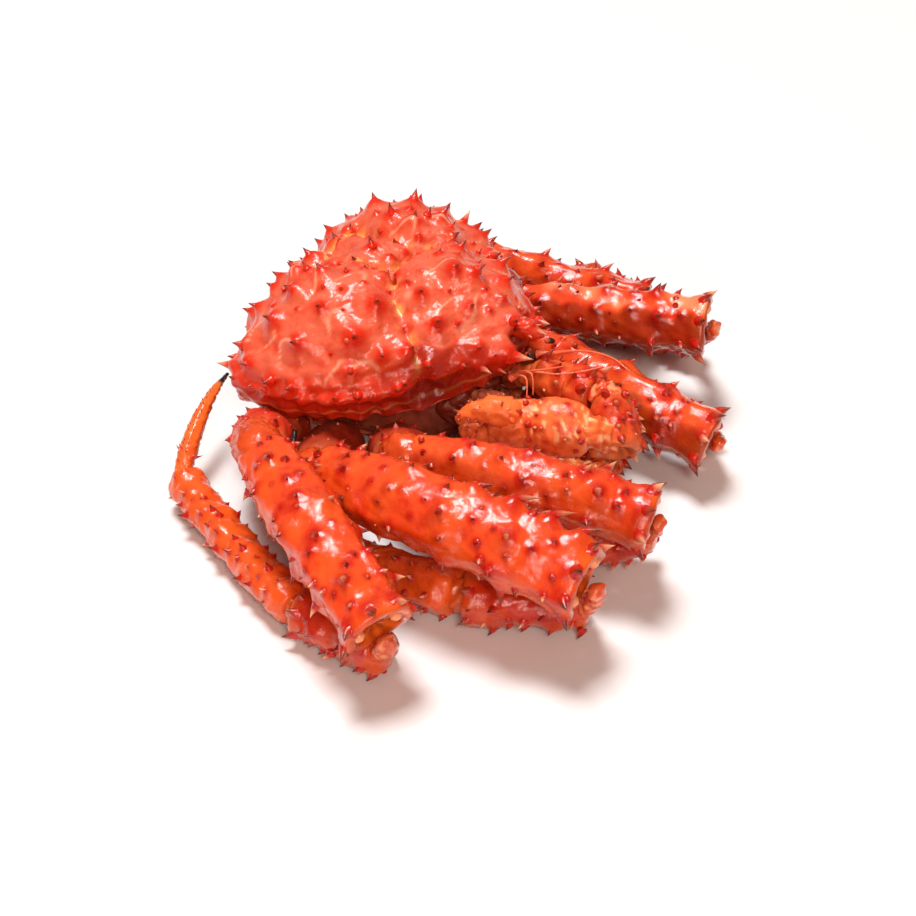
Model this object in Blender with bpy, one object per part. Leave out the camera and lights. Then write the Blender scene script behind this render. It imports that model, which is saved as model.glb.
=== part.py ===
"""Whole cooked king crab, legs folded forward, as separate shell pieces.

All tables are in millimetres in the crab's own frame: the crab faces -Y, its
right side is -X and the ground is z = 0.  Every node is one closed faceted
solid; its spines are fused to it.
"""
import math
import random

import bmesh
import bpy
import numpy as np
from mathutils import Matrix, Vector

MM = 0.001
SHIFT = (23.0, 43.8, -0.2)      # moves the middle of the footprint to the origin
SEED = 7

# ------------------------------------------------------------------ sizes
# right half of the shell's rim, from the beak round to the tail: x, y, z
RIM = ((0, -91, 74), (7, -82, 73), (17, -75, 72), (31, -63, 71), (47, -47, 69),
       (63, -30, 63), (76, -9, 61), (80, 13, 59), (79, 32, 57), (72, 48, 54),
       (52, 57, 54), (26, 57, 59), (0, 57, 61))
RIM_CENTRE = (0.0, -6.0)
SHELL_SHIFT = 3.0              # the shell sits a little to the left, and is
SHELL_ROLL = 0.045             # rolled so that its left side is higher
DOME_TOP = 99.0
DOME_POWERS = (2.4, 0.66)
# domes of the back: x, y, spread x, spread y, height (mirrored when x > 0)
SWELLINGS = ((0, -38, 19, 17, 6.5), (42, 10, 21, 26, 8.0), (0, 16, 8, 10, 2.5),
             (26, 38, 18, 12, 4.0))
# furrows: depth, width, then points (mirrored)
FURROWS = ((5.0, 3.6, ((0, -9), (13, -12), (26, -19), (37, -30), (46, -44))),
           (5.0, 3.4, ((13, -12), (12, 4), (15, 16), (22, 30))),
           (2.5, 3.5, ((0, 32), (12, 30), (22, 30))))
# wall under the rim: bottom height by compass angle from the front (degrees)
WALL_FOOT = ((0, 58), (25, 55), (50, 52), (75, 48), (100, 47), (120, 46),
             (138, 34), (155, 35), (180, 41))

# segments: start, end, start radius, end radius
LEGS = {
    "leg_r3": dict(
        base=((-47, 31, 16), (-103, 14, 44), 15, 14.5),
        merus=((-121, 1, 56), (-192, -106, 38), 15, 16.5),
        carpus=((-180, -103, 13.5), (-172, -54, 13), 11, 11.5),
        propodus=((-171, -50, 13), (-112, 53, 13), 11.2, 9.2),
        dactyl=((-108.5, 57, 13.5), (-46, 69, 33), 5.0, 8)),
    "leg_r2": dict(
        base=((-51, -3, 19), (-95, -15, 31), 16, 14.5),
        merus=((-107, -20, 39), (-128, -176, 44.5), 16.5, 17.5),
        carpus=((-107, -170, 14), (-127, -115, 14), 11, 13.5),
        propodus=((-127, -111, 14), (-125, -17, 13), 14.2, 9),
        dactyl=((-124, -13, 13), (-88, 1, 46), 5.6, 1)),
    "leg_r1": dict(
        base=((-47, -33, 22), (-76, -51, 40), 15.5, 13.5),
        merus=((-83, -58, 48), (-72, -183, 46), 13, 15),
        carpus=((-54, -178, 22), (-63, -145, 13), 9.5, 12),
        propodus=((-64, -140, 12), (-66, -42, 11), 10.5, 7),
        dactyl=((-66, -38, 9), (-60, 6, 6), 4.5, -2)),
    "leg_l1": dict(
        base=((47, -45, 25), (43, -50, 34), 8, 8),
        merus=((40, -57, 42), (25, -174, 27), 13.5, 14.8),
        carpus=((46, -167, 13), (56, -126, 12), 9, 10.5),
        propodus=((57, -122, 12), (72, -34, 11), 9.5, 7),
        dactyl=((73, -30, 11), (64, 18, 8), 5, -3)),
    "leg_l2": dict(
        base=((50, -4, 19), (72, -20, 34), 12, 10.5),
        merus=((76, -28, 39), (89, -143, 50), 11.5, 15.3),
        carpus=((121, -129, 20), (126, -100, 11.5), 9, 9.5),
        propodus=((126, -96, 11), (107, 1, 10.5), 9, 7),
        dactyl=((106, 5, 10.5), (82, 48, 9), 5, 4)),
    "leg_l3": dict(
        base=((46, 31, 17), (90, 27, 39), 12.5, 11.5),
        merus=((99, 25, 43), (110, -99, 35), 12, 14.5),
        carpus=((148, -80, 16), (152, -38, 13), 9, 11),
        propodus=((151, -34, 13), (123, 64, 12), 10.5, 7.5),
        dactyl=((122, 68, 12), (88, 104, 13), 5.5, -6)),
}
CLAWS = {
    "claw_right": dict(
        base=((8, -66, 41), (9, -75, 45), 6.5, 6.5),
        merus=((9, -80, 47), (3, -119, 50.5), 8.5, 11.5),
        carpus=((0, -128.5, 53), (-19, -141, 37), 11.5, 12.5),
        palm=((-26, -130.5, 50), (-34, -95, 48), 13.5, 13.5),
        fixed=((-34, -91.5, 40.5), (-42, -67, 41), 7.5, 3.2),
        free=((-37, -91.5, 55.5), (-46, -67, 48.5), 7, 2.8)),
    "claw_left": dict(
        base=((21, -59, 24), (20, -65, 22), 6, 6),
        merus=((19, -69, 22), (14, -106, 18), 7.5, 9.5),
        carpus=((9, -119, 17), (-5, -129, 14), 9, 10),
        palm=((-14, -121, 14), (-24, -88, 14), 10, 10.5),
        fixed=((-22, -84, 9.5), (-28, -62, 9.5), 5.5, 2.5),
        free=((-26, -85, 20.5), (-32, -63, 15), 4.8, 2.2)),
}
ORDER = ("base", "merus", "carpus", "propodus", "palm", "fixed", "free", "dactyl")
SLANT = {"merus": 0.52}
KNUCKLE_WIDE = 1.5              # width of a knee's hinge over its thickness
BOW = {"leg_r2_merus": 18.0, "leg_r1_merus": 6.0, "leg_r3_merus": 4.0, "leg_l1_merus": 2.0,
       "leg_r3_propodus": 2.5}
FLAT = {"base": 0.84, "merus": 0.88, "carpus": 0.95, "propodus": 0.92, "palm": 0.82}
# rows of spines: angle from the outer side, spacing, length, first, last (share)
SPINE_ROWS = {
    "base": ((0, 17, 5.0, 0.45, 0.9), (50, 17, 4.5, 0.5, 0.9), (-50, 17, 4.5, 0.5, 0.9)),
    "merus": ((0, 29, 6.5, 0.1, 0.9), (48, 31, 6.0, 0.16, 0.88), (-48, 31, 6.0, 0.16, 0.88),
              (100, 29, 7.0, 0.1, 0.9), (-100, 29, 7.0, 0.1, 0.9)),
    "carpus": ((0, 15, 5.0, 0.2, 0.85), (60, 16, 6.0, 0.25, 0.9), (-60, 16, 6.0, 0.25, 0.9)),
    "propodus": ((0, 28, 5.0, 0.1, 0.9), (65, 28, 5.5, 0.14, 0.86),
                 (-65, 28, 5.5, 0.14, 0.86)),
    "palm": ((0, 16, 3.0, 0.2, 0.9), (60, 16, 3.0, 0.2, 0.9), (-60, 16, 3.0, 0.2, 0.9)),
}
RIM_SPINES = {"merus": (5, 8.0), "carpus": (4, 6.5), "palm": (0, 0), "propodus": (0, 0),
              "base": (4, 6.5)}

# spines of the back: x, y, length
BACK_SPINES = (
    (-13, 9, 6.5), (-39, -16, 7.0), (-56, -14, 7.0), (-66, 12, 6.5), (-58, 30, 6.5),
    (-52, 7, 5.0), (-33, 18, 5.5), (-45, 27, 5.5), (-1, 8, 5.5), (27, -1, 6.0),
    (-73, 36, 5.5), (-78, 21, 6.0), (-78, 9, 5.5), (-66, -17, 5.0), (-54, -28, 5.5),
    (-69, -22, 5.5), (-57, -38, 6.0), (-25, -65, 5.0), (-30, -45, 6.5), (-14, -55, 4.5),
    (-22, -32, 5.5), (-4, -41, 5.5), (13, 1, 5.0), (2, -49, 6.0), (13, -59, 6.5),
    (-5, -75, 5.0), (-44, -48, 6.0), (-46, -37, 5.5), (-65, 44, 6.0), (32, -19, 6.0),
    (8, 34, 5.5), (-10, 38, 6.0), (-27, 44, 6.0), (-44, 47, 6.0), (30, -48, 6.5),
    (44, -36, 6.5), (56, -23, 7.0), (42, -8, 6.5), (60, 0, 6.5), (46, 10, 6.5),
    (28, 12, 6.0), (62, 22, 6.5), (40, 28, 6.5), (26, 46, 6.0), (44, 46, 6.0),
    (60, 40, 6.0), (18, -32, 5.5), (68, -14, 6.0))
RIM_SPINE_COUNT = 13

# linear colour and roughness by kind of piece
COLOURS = {
    "back": ((0.78, 0.10, 0.045), 0.35),
    "leg": ((0.80, 0.085, 0.02), 0.35),
    "tip": ((0.80, 0.16, 0.03), 0.35),
    "under": ((0.55, 0.09, 0.03), 0.5),
    "claw": ((0.86, 0.19, 0.06), 0.4),
    "eye": ((0.02, 0.01, 0.01), 0.15),
}


# ------------------------------------------------------------------ vectors
def unit(v):
    v = np.asarray(v, float)
    return v / max(np.linalg.norm(v), 1e-9)


def across(v, axis):
    """The part of v that is square to the axis, as a unit vector."""
    v = np.asarray(v, float)
    return unit(v - np.dot(v, axis) * axis)


# ------------------------------------------------------------------ meshes
def make_collection(name):
    group = bpy.data.collections.new(name)
    bpy.context.scene.collection.children.link(group)
    return group


def make_material(name, colour, roughness):
    material = bpy.data.materials.new(name)
    material.use_nodes = True
    shader = material.node_tree.nodes["Principled BSDF"]
    shader.inputs["Base Color"].default_value = (*colour, 1.0)
    shader.inputs["Roughness"].default_value = roughness
    shader.inputs["Metallic"].default_value = 0.0
    material.diffuse_color = (*colour, 1.0)
    return material


def colour_key(name):
    """Which entry of COLOURS a piece takes."""
    if name == "carapace":
        return "back"
    if name in ("thorax", "abdomen") or name.endswith("_base"):
        return "under"
    if name.startswith(("maxilliped", "antenna")):
        return "under"
    if name.startswith("eye"):
        return "eye"
    if name.startswith("claw"):
        return "claw"
    return "tip" if name.endswith("dactyl") else "leg"


def make_object(name, verts, faces, group):
    mesh = bpy.data.meshes.new(name)
    moved = (np.asarray(verts, float) + np.asarray(SHIFT)) * MM
    mesh.from_pydata([tuple(p) for p in moved], [], faces)
    mesh.validate()
    mesh.update()
    obj = bpy.data.objects.new(name, mesh)
    group.objects.link(obj)
    return obj


def make_piece(name, verts, faces, group):
    """An object of the crab, with its own material."""
    obj = make_object(name, verts, faces, group)
    obj.data.materials.append(make_material(name, *COLOURS[colour_key(name)]))
    return obj


def loft(rings, start, end):
    """Closed skin over rings of equal count, closed by a point at each end."""
    count = len(rings[0])
    verts = [start]
    for ring in rings:
        verts.extend(ring)
    verts.append(end)
    faces = []
    for k in range(count):
        faces.append((0, 1 + (k + 1) % count, 1 + k))
    for r in range(len(rings) - 1):
        low = 1 + r * count
        for k in range(count):
            a = low + k
            b = low + (k + 1) % count
            faces.append((a, b, b + count))
            faces.append((a, b + count, a + count))
    last = 1 + (len(rings) - 1) * count
    for k in range(count):
        faces.append((last + k, last + (k + 1) % count, len(verts) - 1))
    return verts, faces


def facing_out(verts, faces):
    """Turns every face round if the closed skin encloses negative volume."""
    v = np.asarray(verts, float)
    total = 0.0
    for a, b, c in faces:
        total += np.dot(v[a], np.cross(v[b], v[c]))
    if total < 0:
        faces = [(a, c, b) for a, b, c in faces]
    return faces


class Limb:
    """A straight or bowed tapering segment, given by rings along its axis."""

    def __init__(self, name, kind, row, outer, bow=0.0):
        self.name = name
        self.kind = kind
        self.a = np.asarray(row[0], float)
        self.b = np.asarray(row[1], float)
        self.ra = row[2]
        self.rb = row[3]
        self.length = np.linalg.norm(self.b - self.a)
        self.axis = (self.b - self.a) / self.length
        self.outer = across(outer, self.axis)
        self.side = np.cross(self.axis, self.outer)
        self.flat = FLAT.get(kind, 0.95)
        self.slant = SLANT.get(kind, 0.0)
        self.bow = bow

    def radius(self, s):
        return self.ra + (self.rb - self.ra) * s

    def point(self, along, radius, angle, slant=0.0):
        """Surface point: distance along, radius there, angle from outer side."""
        c = math.cos(angle)
        q = radius * self.flat * c
        bend = self.bow * 4 * (along / self.length) * (1 - along / self.length)
        return (self.a + self.axis * (along + slant * q) + self.outer * (q + bend)
                + self.side * radius * math.sin(angle))

    def ring(self, along, radius, sides, slant=0.0):
        return [self.point(along, radius, 2 * math.pi * k / sides, slant)
                for k in range(sides)]


PROFILE = {
    # share of length or mm from an end, radius share, slant share
    "base": (("sh", 0.02, 0.5), ("sh", 0.1, 0.84), ("sh", 0.3, 1.0), ("sh", 0.7, 1.0),
             ("sh", 0.92, 0.96), ("sh", 1.0, 0.68)),
    "merus": (("mm", 0.8, 0.45), ("mm", 4, 0.78), ("mm", 10, 0.9), ("sh", 0.18, 0.95),
              ("sh", 0.36, 1.05), ("sh", 0.66, 1.0), ("end", 14, 0.95), ("end", 5, 1.04),
              ("end", 0, 1.0), ("end", 0.4, 0.78), ("end", 5, 0.52)),
    "carpus": (("mm", 0.8, 0.5), ("mm", 3.5, 0.85), ("mm", 9, 1.0), ("sh", 0.55, 0.95),
               ("end", 6, 1.05), ("end", 0, 0.98), ("end", 0.3, 0.76), ("end", 3, 0.55)),
    "propodus": (("mm", 0.8, 0.62), ("mm", 3.0, 0.88), ("mm", 10, 1.0), ("sh", 0.4, 0.94),
                 ("sh", 0.75, 0.98), ("end", 4, 1.08), ("end", 0, 0.95), ("end", 0.3, 0.7),
                 ("end", 3, 0.5)),
    "palm": (("mm", 0.8, 0.6), ("mm", 4, 0.88), ("sh", 0.3, 1.04), ("sh", 0.6, 1.06),
             ("end", 7, 0.98), ("end", 1, 0.86), ("end", 0, 0.76), ("end", 0.5, 0.6),
             ("end", 2, 0.5)),
}
SIDES = {"base": 7, "merus": 9, "carpus": 8, "propodus": 8, "palm": 10}


def limb_rings(limb):
    rings = []
    count = len(PROFILE[limb.kind])
    for i, (mode, value, share) in enumerate(PROFILE[limb.kind]):
        if mode == "mm":
            along = value
        elif mode == "sh":
            along = value * limb.length
        else:
            along = limb.length - value
        s = along / limb.length
        slant = limb.slant * max(0.0, (s - 0.55) / 0.45)
        if i == count - 1:
            slant *= 0.8
        rings.append(limb.ring(along, limb.radius(s) * share, SIDES[limb.kind], slant))
    return rings


def limb_solid(limb):
    rings = limb_rings(limb)
    start = limb.a
    cup = 5.4 if limb.kind == "merus" else 3.3
    if limb.kind == "base":
        cup = -0.6
    verts, faces = loft(rings, start, limb.a + limb.axis * (limb.length - cup))
    return verts, facing_out(verts, faces)


def tube_solid(points, radii, sides, up=(0, 0, 1), flat=1.0):
    """Closed tube through points; ends run out to a point a radius further."""
    pts = [np.asarray(p, float) for p in points]
    rings = []
    for i, (p, r) in enumerate(zip(pts, radii)):
        before = pts[max(i - 1, 0)]
        after = pts[min(i + 1, len(pts) - 1)]
        axis = unit(after - before)
        u = across(up, axis)
        v = np.cross(axis, u)
        rings.append([p + u * r * flat * math.cos(2 * math.pi * k / sides)
                      + v * r * math.sin(2 * math.pi * k / sides) for k in range(sides)])
    start = pts[0] - unit(pts[1] - pts[0]) * radii[0] * 0.5
    end = pts[-1] + unit(pts[-1] - pts[-2]) * max(radii[-1] * 0.5, 0.8)
    verts, faces = loft(rings, start, end)
    return verts, facing_out(verts, faces)


def bowed_points(a, b, bow, up, count):
    a = np.asarray(a, float)
    b = np.asarray(b, float)
    axis = unit(b - a)
    u = across(up, axis)
    out = []
    for k in range(count):
        t = k / (count - 1)
        out.append(a + (b - a) * t + u * bow * 4 * t * (1 - t))
    return out


def claw_tip_solid(row, sides=6, count=7):
    """Slim pointed end segment, bowed sideways by the last figure of its row."""
    a, b, r, bow = row
    points = bowed_points(a, b, bow, (0, 0, 1), count)
    radii = [r * (1 - 0.86 * (k / (count - 1)) ** 1.6) for k in range(count)]
    radii[0] = r * 0.8
    return tube_solid(points, radii, sides)


# ------------------------------------------------------------------ spines
ROOT = 2.0                      # how far a spine reaches below its surface point
SPINE_SIDES = 4


def spine_object(name, spine, group):
    """Cone rooted a little below the surface point."""
    base, direction, length, radius = spine
    direction = unit(direction)
    middle = np.asarray(base, float) + direction * (length - ROOT) / 2
    turn = Vector(direction).to_track_quat("Z", "Y").to_matrix().to_4x4()
    place = Matrix.Translation(((middle + np.asarray(SHIFT)) * MM).tolist())
    shape = bmesh.new()
    bmesh.ops.create_cone(shape, cap_ends=True, segments=SPINE_SIDES, radius2=0.0,
                          radius1=radius * (length + ROOT) / length * MM,
                          depth=(length + ROOT) * MM, matrix=place @ turn)
    mesh = bpy.data.meshes.new(name)
    shape.to_mesh(mesh)
    shape.free()
    obj = bpy.data.objects.new(name, mesh)
    group.objects.link(obj)


def fuse(obj, spines, solids=()):
    """Unites cones and solids with the object in one step and drops the helpers."""
    if not spines and not solids:
        return
    group = make_collection(obj.name + "_helpers")
    for i, spine in enumerate(spines):
        spine_object("%s_spine_%d" % (obj.name, i), spine, group)
    for i, (verts, faces) in enumerate(solids):
        make_object("%s_solid_%d" % (obj.name, i), verts, faces, group)
    union = obj.modifiers.new("union", "BOOLEAN")
    union.operation = "UNION"
    union.operand_type = "COLLECTION"
    union.collection = group
    union.solver = "EXACT"
    with bpy.context.temp_override(object=obj, active_object=obj):
        bpy.ops.object.modifier_apply(modifier="union")
    for helper in list(group.objects):
        bpy.data.objects.remove(helper, do_unlink=True)
    bpy.data.collections.remove(group)


# ------------------------------------------------------------------ clearances
CAPSULES = []


def add_capsule(name, a, b, ra, rb):
    CAPSULES.append((name, np.asarray(a, float), np.asarray(b, float), ra, rb))


def clearance(p, own):
    """Distance from p to the nearest other segment, or to the ground."""
    best = p[2]
    for name, a, b, ra, rb in CAPSULES:
        if name == own:
            continue
        ab = b - a
        t = np.clip(np.dot(p - a, ab) / np.dot(ab, ab), 0.0, 1.0)
        gap = np.linalg.norm(p - a - ab * t) - (ra + (rb - ra) * t)
        best = min(best, gap)
    return best


def under_shell(p, margin):
    """True where p is inside the shell, or nearer to it than the margin."""
    x = p[0] - SHELL_SHIFT
    rho, top, foot = shell_at(x, p[1])
    z = p[2] - SHELL_ROLL * x
    return rho < 1.0 + margin / 75.0 and foot - margin < z < top + margin


def fitted(base, direction, length, own, shell=True):
    """Longest allowed spine here, or 0 where there is no room."""
    for share in (1.0, 0.8, 0.6, 0.45):
        tip = base + unit(direction) * length * share
        need = min(length * share, 5.0) * 0.9 + 0.4
        if tip[2] < 0.2:
            continue
        gap = clearance(tip, own)
        if tip[2] > 6.0 and gap < need:
            continue
        if tip[2] <= 6.0 and gap < min(need, tip[2]):
            continue
        if shell and under_shell(tip, 3.0):
            continue
        return length * share
    return 0.0


def limb_spines(limb, rng):
    out = []
    for angle, spacing, length, first, last in SPINE_ROWS[limb.kind]:
        count = max(1, int(round(limb.length * (last - first) / spacing)))
        for k in range(count):
            s = first + (last - first) * (k + 0.5) / count
            s += rng.uniform(-0.12, 0.12) / count
            a = math.radians(angle + rng.uniform(-9, 9))
            size = length * rng.uniform(0.8, 1.15) * (0.75 + 0.4 * s)
            out.append((s, a, size, 0.45))
    number, length = RIM_SPINES[limb.kind]
    for k in range(number):
        a = math.radians(-95 + 190 * k / max(number - 1, 1))
        out.append((1.0, a, length * rng.uniform(0.85, 1.1), 0.9))
    spines = []
    for s, a, size, lean in out:
        along = s * limb.length - (3.0 if s == 1.0 else 0.0)
        slant = limb.slant * max(0.0, (along / limb.length - 0.55) / 0.45)
        base = limb.point(along, limb.radius(s) * 0.97, a, slant)
        normal = limb.outer * math.cos(a) + limb.side * math.sin(a)
        direction = unit(normal + limb.axis * lean)
        size = fitted(base, direction, size, limb.name)
        if size > 2.2:
            spines.append((base, direction, size, 0.9 + 0.2 * size))
    return spines


# ------------------------------------------------------------------ the shell
def rim_at(angle):
    """Rim radius and height at an angle from the front (radians)."""
    pts = [(math.atan2(x, -(y - RIM_CENTRE[1])),
            math.hypot(x, y - RIM_CENTRE[1]), z) for x, y, z in RIM]
    table = np.array(pts)
    a = abs((angle + math.pi) % (2 * math.pi) - math.pi)
    return (float(np.interp(a, table[:, 0], table[:, 1])),
            float(np.interp(a, table[:, 0], table[:, 2])))


def segment_distance(p, a, b):
    ab = b - a
    t = np.clip(np.dot(p - a, ab) / np.dot(ab, ab), 0.0, 1.0)
    return np.linalg.norm(p - a - ab * t)


def back_height(x, y, rho, rim_z):
    """Height of the back at x, y for the share rho of the way to the rim."""
    p, q = DOME_POWERS
    rise = max(0.0, 1 - min(rho, 1.0) ** p) ** q
    z = rim_z + (DOME_TOP - rim_z) * rise
    fade = min(1.0, (1 - min(rho, 1.0)) / 0.18)
    for cx, cy, sx, sy, h in SWELLINGS:
        dx = (abs(x) - cx) / sx
        dy = (y - cy) / sy
        z += h * math.exp(-dx * dx - dy * dy) * fade
    point = np.array((abs(x), y))
    for depth, width, line in FURROWS:
        near = min(segment_distance(point, np.array(a, float), np.array(b, float))
                   for a, b in zip(line, line[1:]))
        z -= depth * math.exp(-(near / width) ** 2) * fade
    return z


def rear_corner(angle):
    """One at the two rear corners of the rim, fading to nothing beside them."""
    a = abs(math.degrees((angle + math.pi) % (2 * math.pi) - math.pi))
    return math.exp(-((a - 132.0) / 22.0) ** 2)


def front_flank(angle):
    """One where the shell's flank stands steep beside the mouth, fading beside it."""
    a = abs(math.degrees((angle + math.pi) % (2 * math.pi) - math.pi))
    return math.exp(-((a - 46.0) / 22.0) ** 2)


def rolled(point):
    """A point of the level, centred shell moved to where the shell sits."""
    x, y, z = point
    return np.array((x + SHELL_SHIFT, y, z + SHELL_ROLL * x))


def shell_at(x, y):
    """Share of the way to the rim, height of the back, height of the foot."""
    dx = x - RIM_CENTRE[0]
    dy = y - RIM_CENTRE[1]
    angle = math.atan2(dx, -dy)
    radius, rim_z = rim_at(angle)
    rho = math.hypot(dx, dy) / radius
    foot = np.interp(math.degrees(abs(angle)), [r[0] for r in WALL_FOOT],
                     [r[1] for r in WALL_FOOT])
    return rho, back_height(x, y, rho, rim_z), float(foot)


# rings under the rim: height, share of the rim's radius, added share at the steep flank
LOW_RINGS = (("floor", 0.35, 0.0), ("floor", 0.7, 0.0), ("foot", 0.86, 0.1),
             ("foot", 0.94, 0.1), ("wall", 0.975, 0.03))


def shell_solid(around, shares):
    rings = []
    for kind, level, spread in LOW_RINGS:
        ring = []
        for k in range(around):
            angle = 2 * math.pi * k / around
            radius, rim_z = rim_at(angle)
            share = level
            if level > 0.8:
                share += 0.05 * (1 - level) / 0.06 * rear_corner(angle)
                share += spread * front_flank(angle)
            x = RIM_CENTRE[0] + math.sin(angle) * radius * share
            y = RIM_CENTRE[1] - math.cos(angle) * radius * share
            foot = shell_at(x, y)[2]
            floor = 51.0
            if kind == "floor":
                z = floor if level < 0.5 else max(floor, foot)
            elif kind == "foot":
                z = foot + (1.5 if level < 0.9 else 0.0)
            else:
                z = 0.5 * (foot + rim_z)
            ring.append(rolled((x, y, z)))
        rings.append(ring)
    for share in shares:
        ring = []
        for k in range(around):
            angle = 2 * math.pi * k / around
            radius, rim_z = rim_at(angle)
            x = RIM_CENTRE[0] + math.sin(angle) * radius * share
            y = RIM_CENTRE[1] - math.cos(angle) * radius * share
            ring.append(rolled((x, y, back_height(x, y, share, rim_z))))
        rings.append(ring)
    cx, cy = RIM_CENTRE
    top = back_height(cx, cy, 0.0, 60.0)
    verts, faces = loft(rings, rolled((cx, cy, 51.0)), rolled((cx, cy, top)))
    return verts, facing_out(verts, faces)


def shell_normal(x, y):
    step = 2.0
    zx = shell_at(x + step, y)[1] - shell_at(x - step, y)[1]
    zy = shell_at(x, y + step)[1] - shell_at(x, y - step)[1]
    return unit((-zx / (2 * step), -zy / (2 * step), 1.0))


def shell_spines(rng):
    spines = []
    for x, y, size in BACK_SPINES:
        z = shell_at(x, y)[1]
        out = unit((x * 0.5, (y + 6) * 0.5, 0.0)) * 0.35
        spines.append((rolled((x, y, z)), shell_normal(x, y) + out, size,
                       1.4 + 0.34 * size))
    for side in (-1, 1):
        for k in range(RIM_SPINE_COUNT):
            angle = side * math.radians(14 + 160.0 * k / (RIM_SPINE_COUNT - 1))
            radius, rim_z = rim_at(angle)
            x = RIM_CENTRE[0] + math.sin(angle) * radius * 0.985
            y = RIM_CENTRE[1] - math.cos(angle) * radius * 0.985
            out = np.array((math.sin(angle), -math.cos(angle), 0.45 + rng.uniform(-0.2, 0.2)))
            size = rng.uniform(5.5, 8.0)
            base = rolled((x, y, rim_z + 1.5))
            size = fitted(base, out, size, "carapace", shell=False)
            if size > 1.8:
                spines.append((base, out, size, 1.2 + 0.3 * size))
    return spines


def beak_spines():
    """The beak, the spines beside it and the large ones of the rear corners."""
    side = shell_at(58, -12)[1]
    rows = (((-65, 51, 56), (-0.45, 0.9, 0.15), 11, 3.8),
            ((65, 51, 56), (0.45, 0.9, 0.15), 11, 3.8),
            ((58, -12, side), (0.8, -0.1, 0.6), 11, 3.8),
            ((-58, -12, side), (-0.8, -0.1, 0.6), 8, 3.4),
            ((0, -81, 79.5), (-0.03, -1.0, -0.14), 11, 3.8),
            ((0, -77, 84), (0, -0.7, 0.7), 4.5, 2.4),
            ((-16.5, -77, 71.5), (0.18, -1.0, 0.02), 11, 4.4),
            ((14, -79, 73), (-0.25, -1.0, 0.3), 9, 3.8),
            ((-27, -66, 69), (-0.25, -1.0, -0.08), 8, 3.4),
            ((27, -66, 69), (0.25, -1.0, 0.0), 8, 3.4))
    return [(rolled(b), np.array(d, float), size, r) for b, d, size, r in rows]


# ------------------------------------------------------------------ body
THORAX_RINGS = ((13, 0.55, 0.62), (17, 0.86, 0.86), (26, 1.0, 1.0), (36, 1.0, 1.0),
                (43, 0.96, 0.98), (48, 0.8, 0.9))
THORAX = (0, -11, 41, 48)      # middle x, y and half sizes


def thorax_solid(sides=16):
    cx, cy, hx, hy = THORAX
    rings = []
    for z, sx, sy in THORAX_RINGS:
        ring = []
        for k in range(sides):
            s = math.sin(2 * math.pi * k / sides)
            c = math.cos(2 * math.pi * k / sides)
            fill = (abs(s) ** 2.8 + abs(c) ** 2.8) ** (-1 / 2.8)
            ring.append(np.array((cx + hx * sx * s * fill, cy - hy * sy * c * fill, z)))
        rings.append(ring)
    verts, faces = loft(rings, np.array((cx, cy, 12.4)), np.array((cx, cy, 48.8)))
    return verts, facing_out(verts, faces)


def abdomen_solid():
    """Broad tail flap, folded under the body from the rear edge."""
    line = ((0, 59, 42), (0, 63, 30), (0, 60, 17), (0, 48, 9.5), (0, 26, 7.5), (0, 2, 7.2),
            (0, -20, 7.5), (0, -34, 8))
    half = (20, 27, 31, 33, 32, 29, 23, 14)
    rings = []
    pts = [np.array(p, float) for p in line]
    sides = 12
    for i, p in enumerate(pts):
        axis = unit(pts[min(i + 1, len(pts) - 1)] - pts[max(i - 1, 0)])
        u = np.array((1.0, 0.0, 0.0))
        v = np.cross(axis, u)
        rings.append([p + u * half[i] * math.cos(2 * math.pi * k / sides)
                      + v * 3.6 * math.sin(2 * math.pi * k / sides) for k in range(sides)])
    verts, faces = loft(rings, pts[0] + np.array((0, 0, 2.0)),
                        pts[-1] + np.array((0, -6.0, 0)))
    return verts, facing_out(verts, faces)


SMALL_PARTS = {
    "eye_right": (((-5.5, -84.5, 69), (-6.5, -86.5, 69.5), (-7.5, -88.5, 69)),
                  (1.5, 1.9, 1.4), 8),
    "eye_left": (((9.5, -87.5, 69), (10.5, -89.5, 69.5), (11.5, -91.5, 69)),
                 (1.5, 1.9, 1.4), 8),
    "antenna_right": (((-13, -79, 57), (-9, -84, 60), (-7, -92, 61.5), (-5, -101, 62),
                       (-1, -111, 64), (5, -120, 66)), (2.4, 1.9, 1.2, 1.0, 0.8, 0.6), 6),
    "antenna_left": (((20, -78, 52), (22, -86, 54), (23, -96, 58), (23, -108, 61),
                      (21, -120, 62), (17, -131, 60)), (3.0, 2.4, 1.3, 1.1, 0.9, 0.7), 6),
    "maxilliped_right": (((-17, -63, 44), (-19, -70, 45), (-15, -80, 42), (-9, -84, 34)),
                         (4.0, 5.0, 4.2, 2.3), 8),
    "maxilliped_left": (((2, -64, 30), (1, -69, 31), (2, -77, 32), (3, -83, 30)),
                        (3.0, 4.0, 3.2, 2.0), 8),
}


# ------------------------------------------------------------------ assembly
def outer_side(rows, kind):
    """Side of a segment that faces away from its folded neighbour."""
    def middle(part):
        return 0.5 * (np.asarray(rows[part][0], float) + np.asarray(rows[part][1], float))
    if kind == "merus" and "palm" not in rows:
        return np.asarray(rows["merus"][1], float) - np.asarray(rows["carpus"][0], float)
    if kind in ("carpus", "propodus"):
        return middle(kind) - middle("merus") + np.array((0, 0, 12.0))
    if kind == "palm":
        return np.array((-0.8, -0.1, 0.55))
    return np.array((0.0, 0.0, 1.0))


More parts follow.
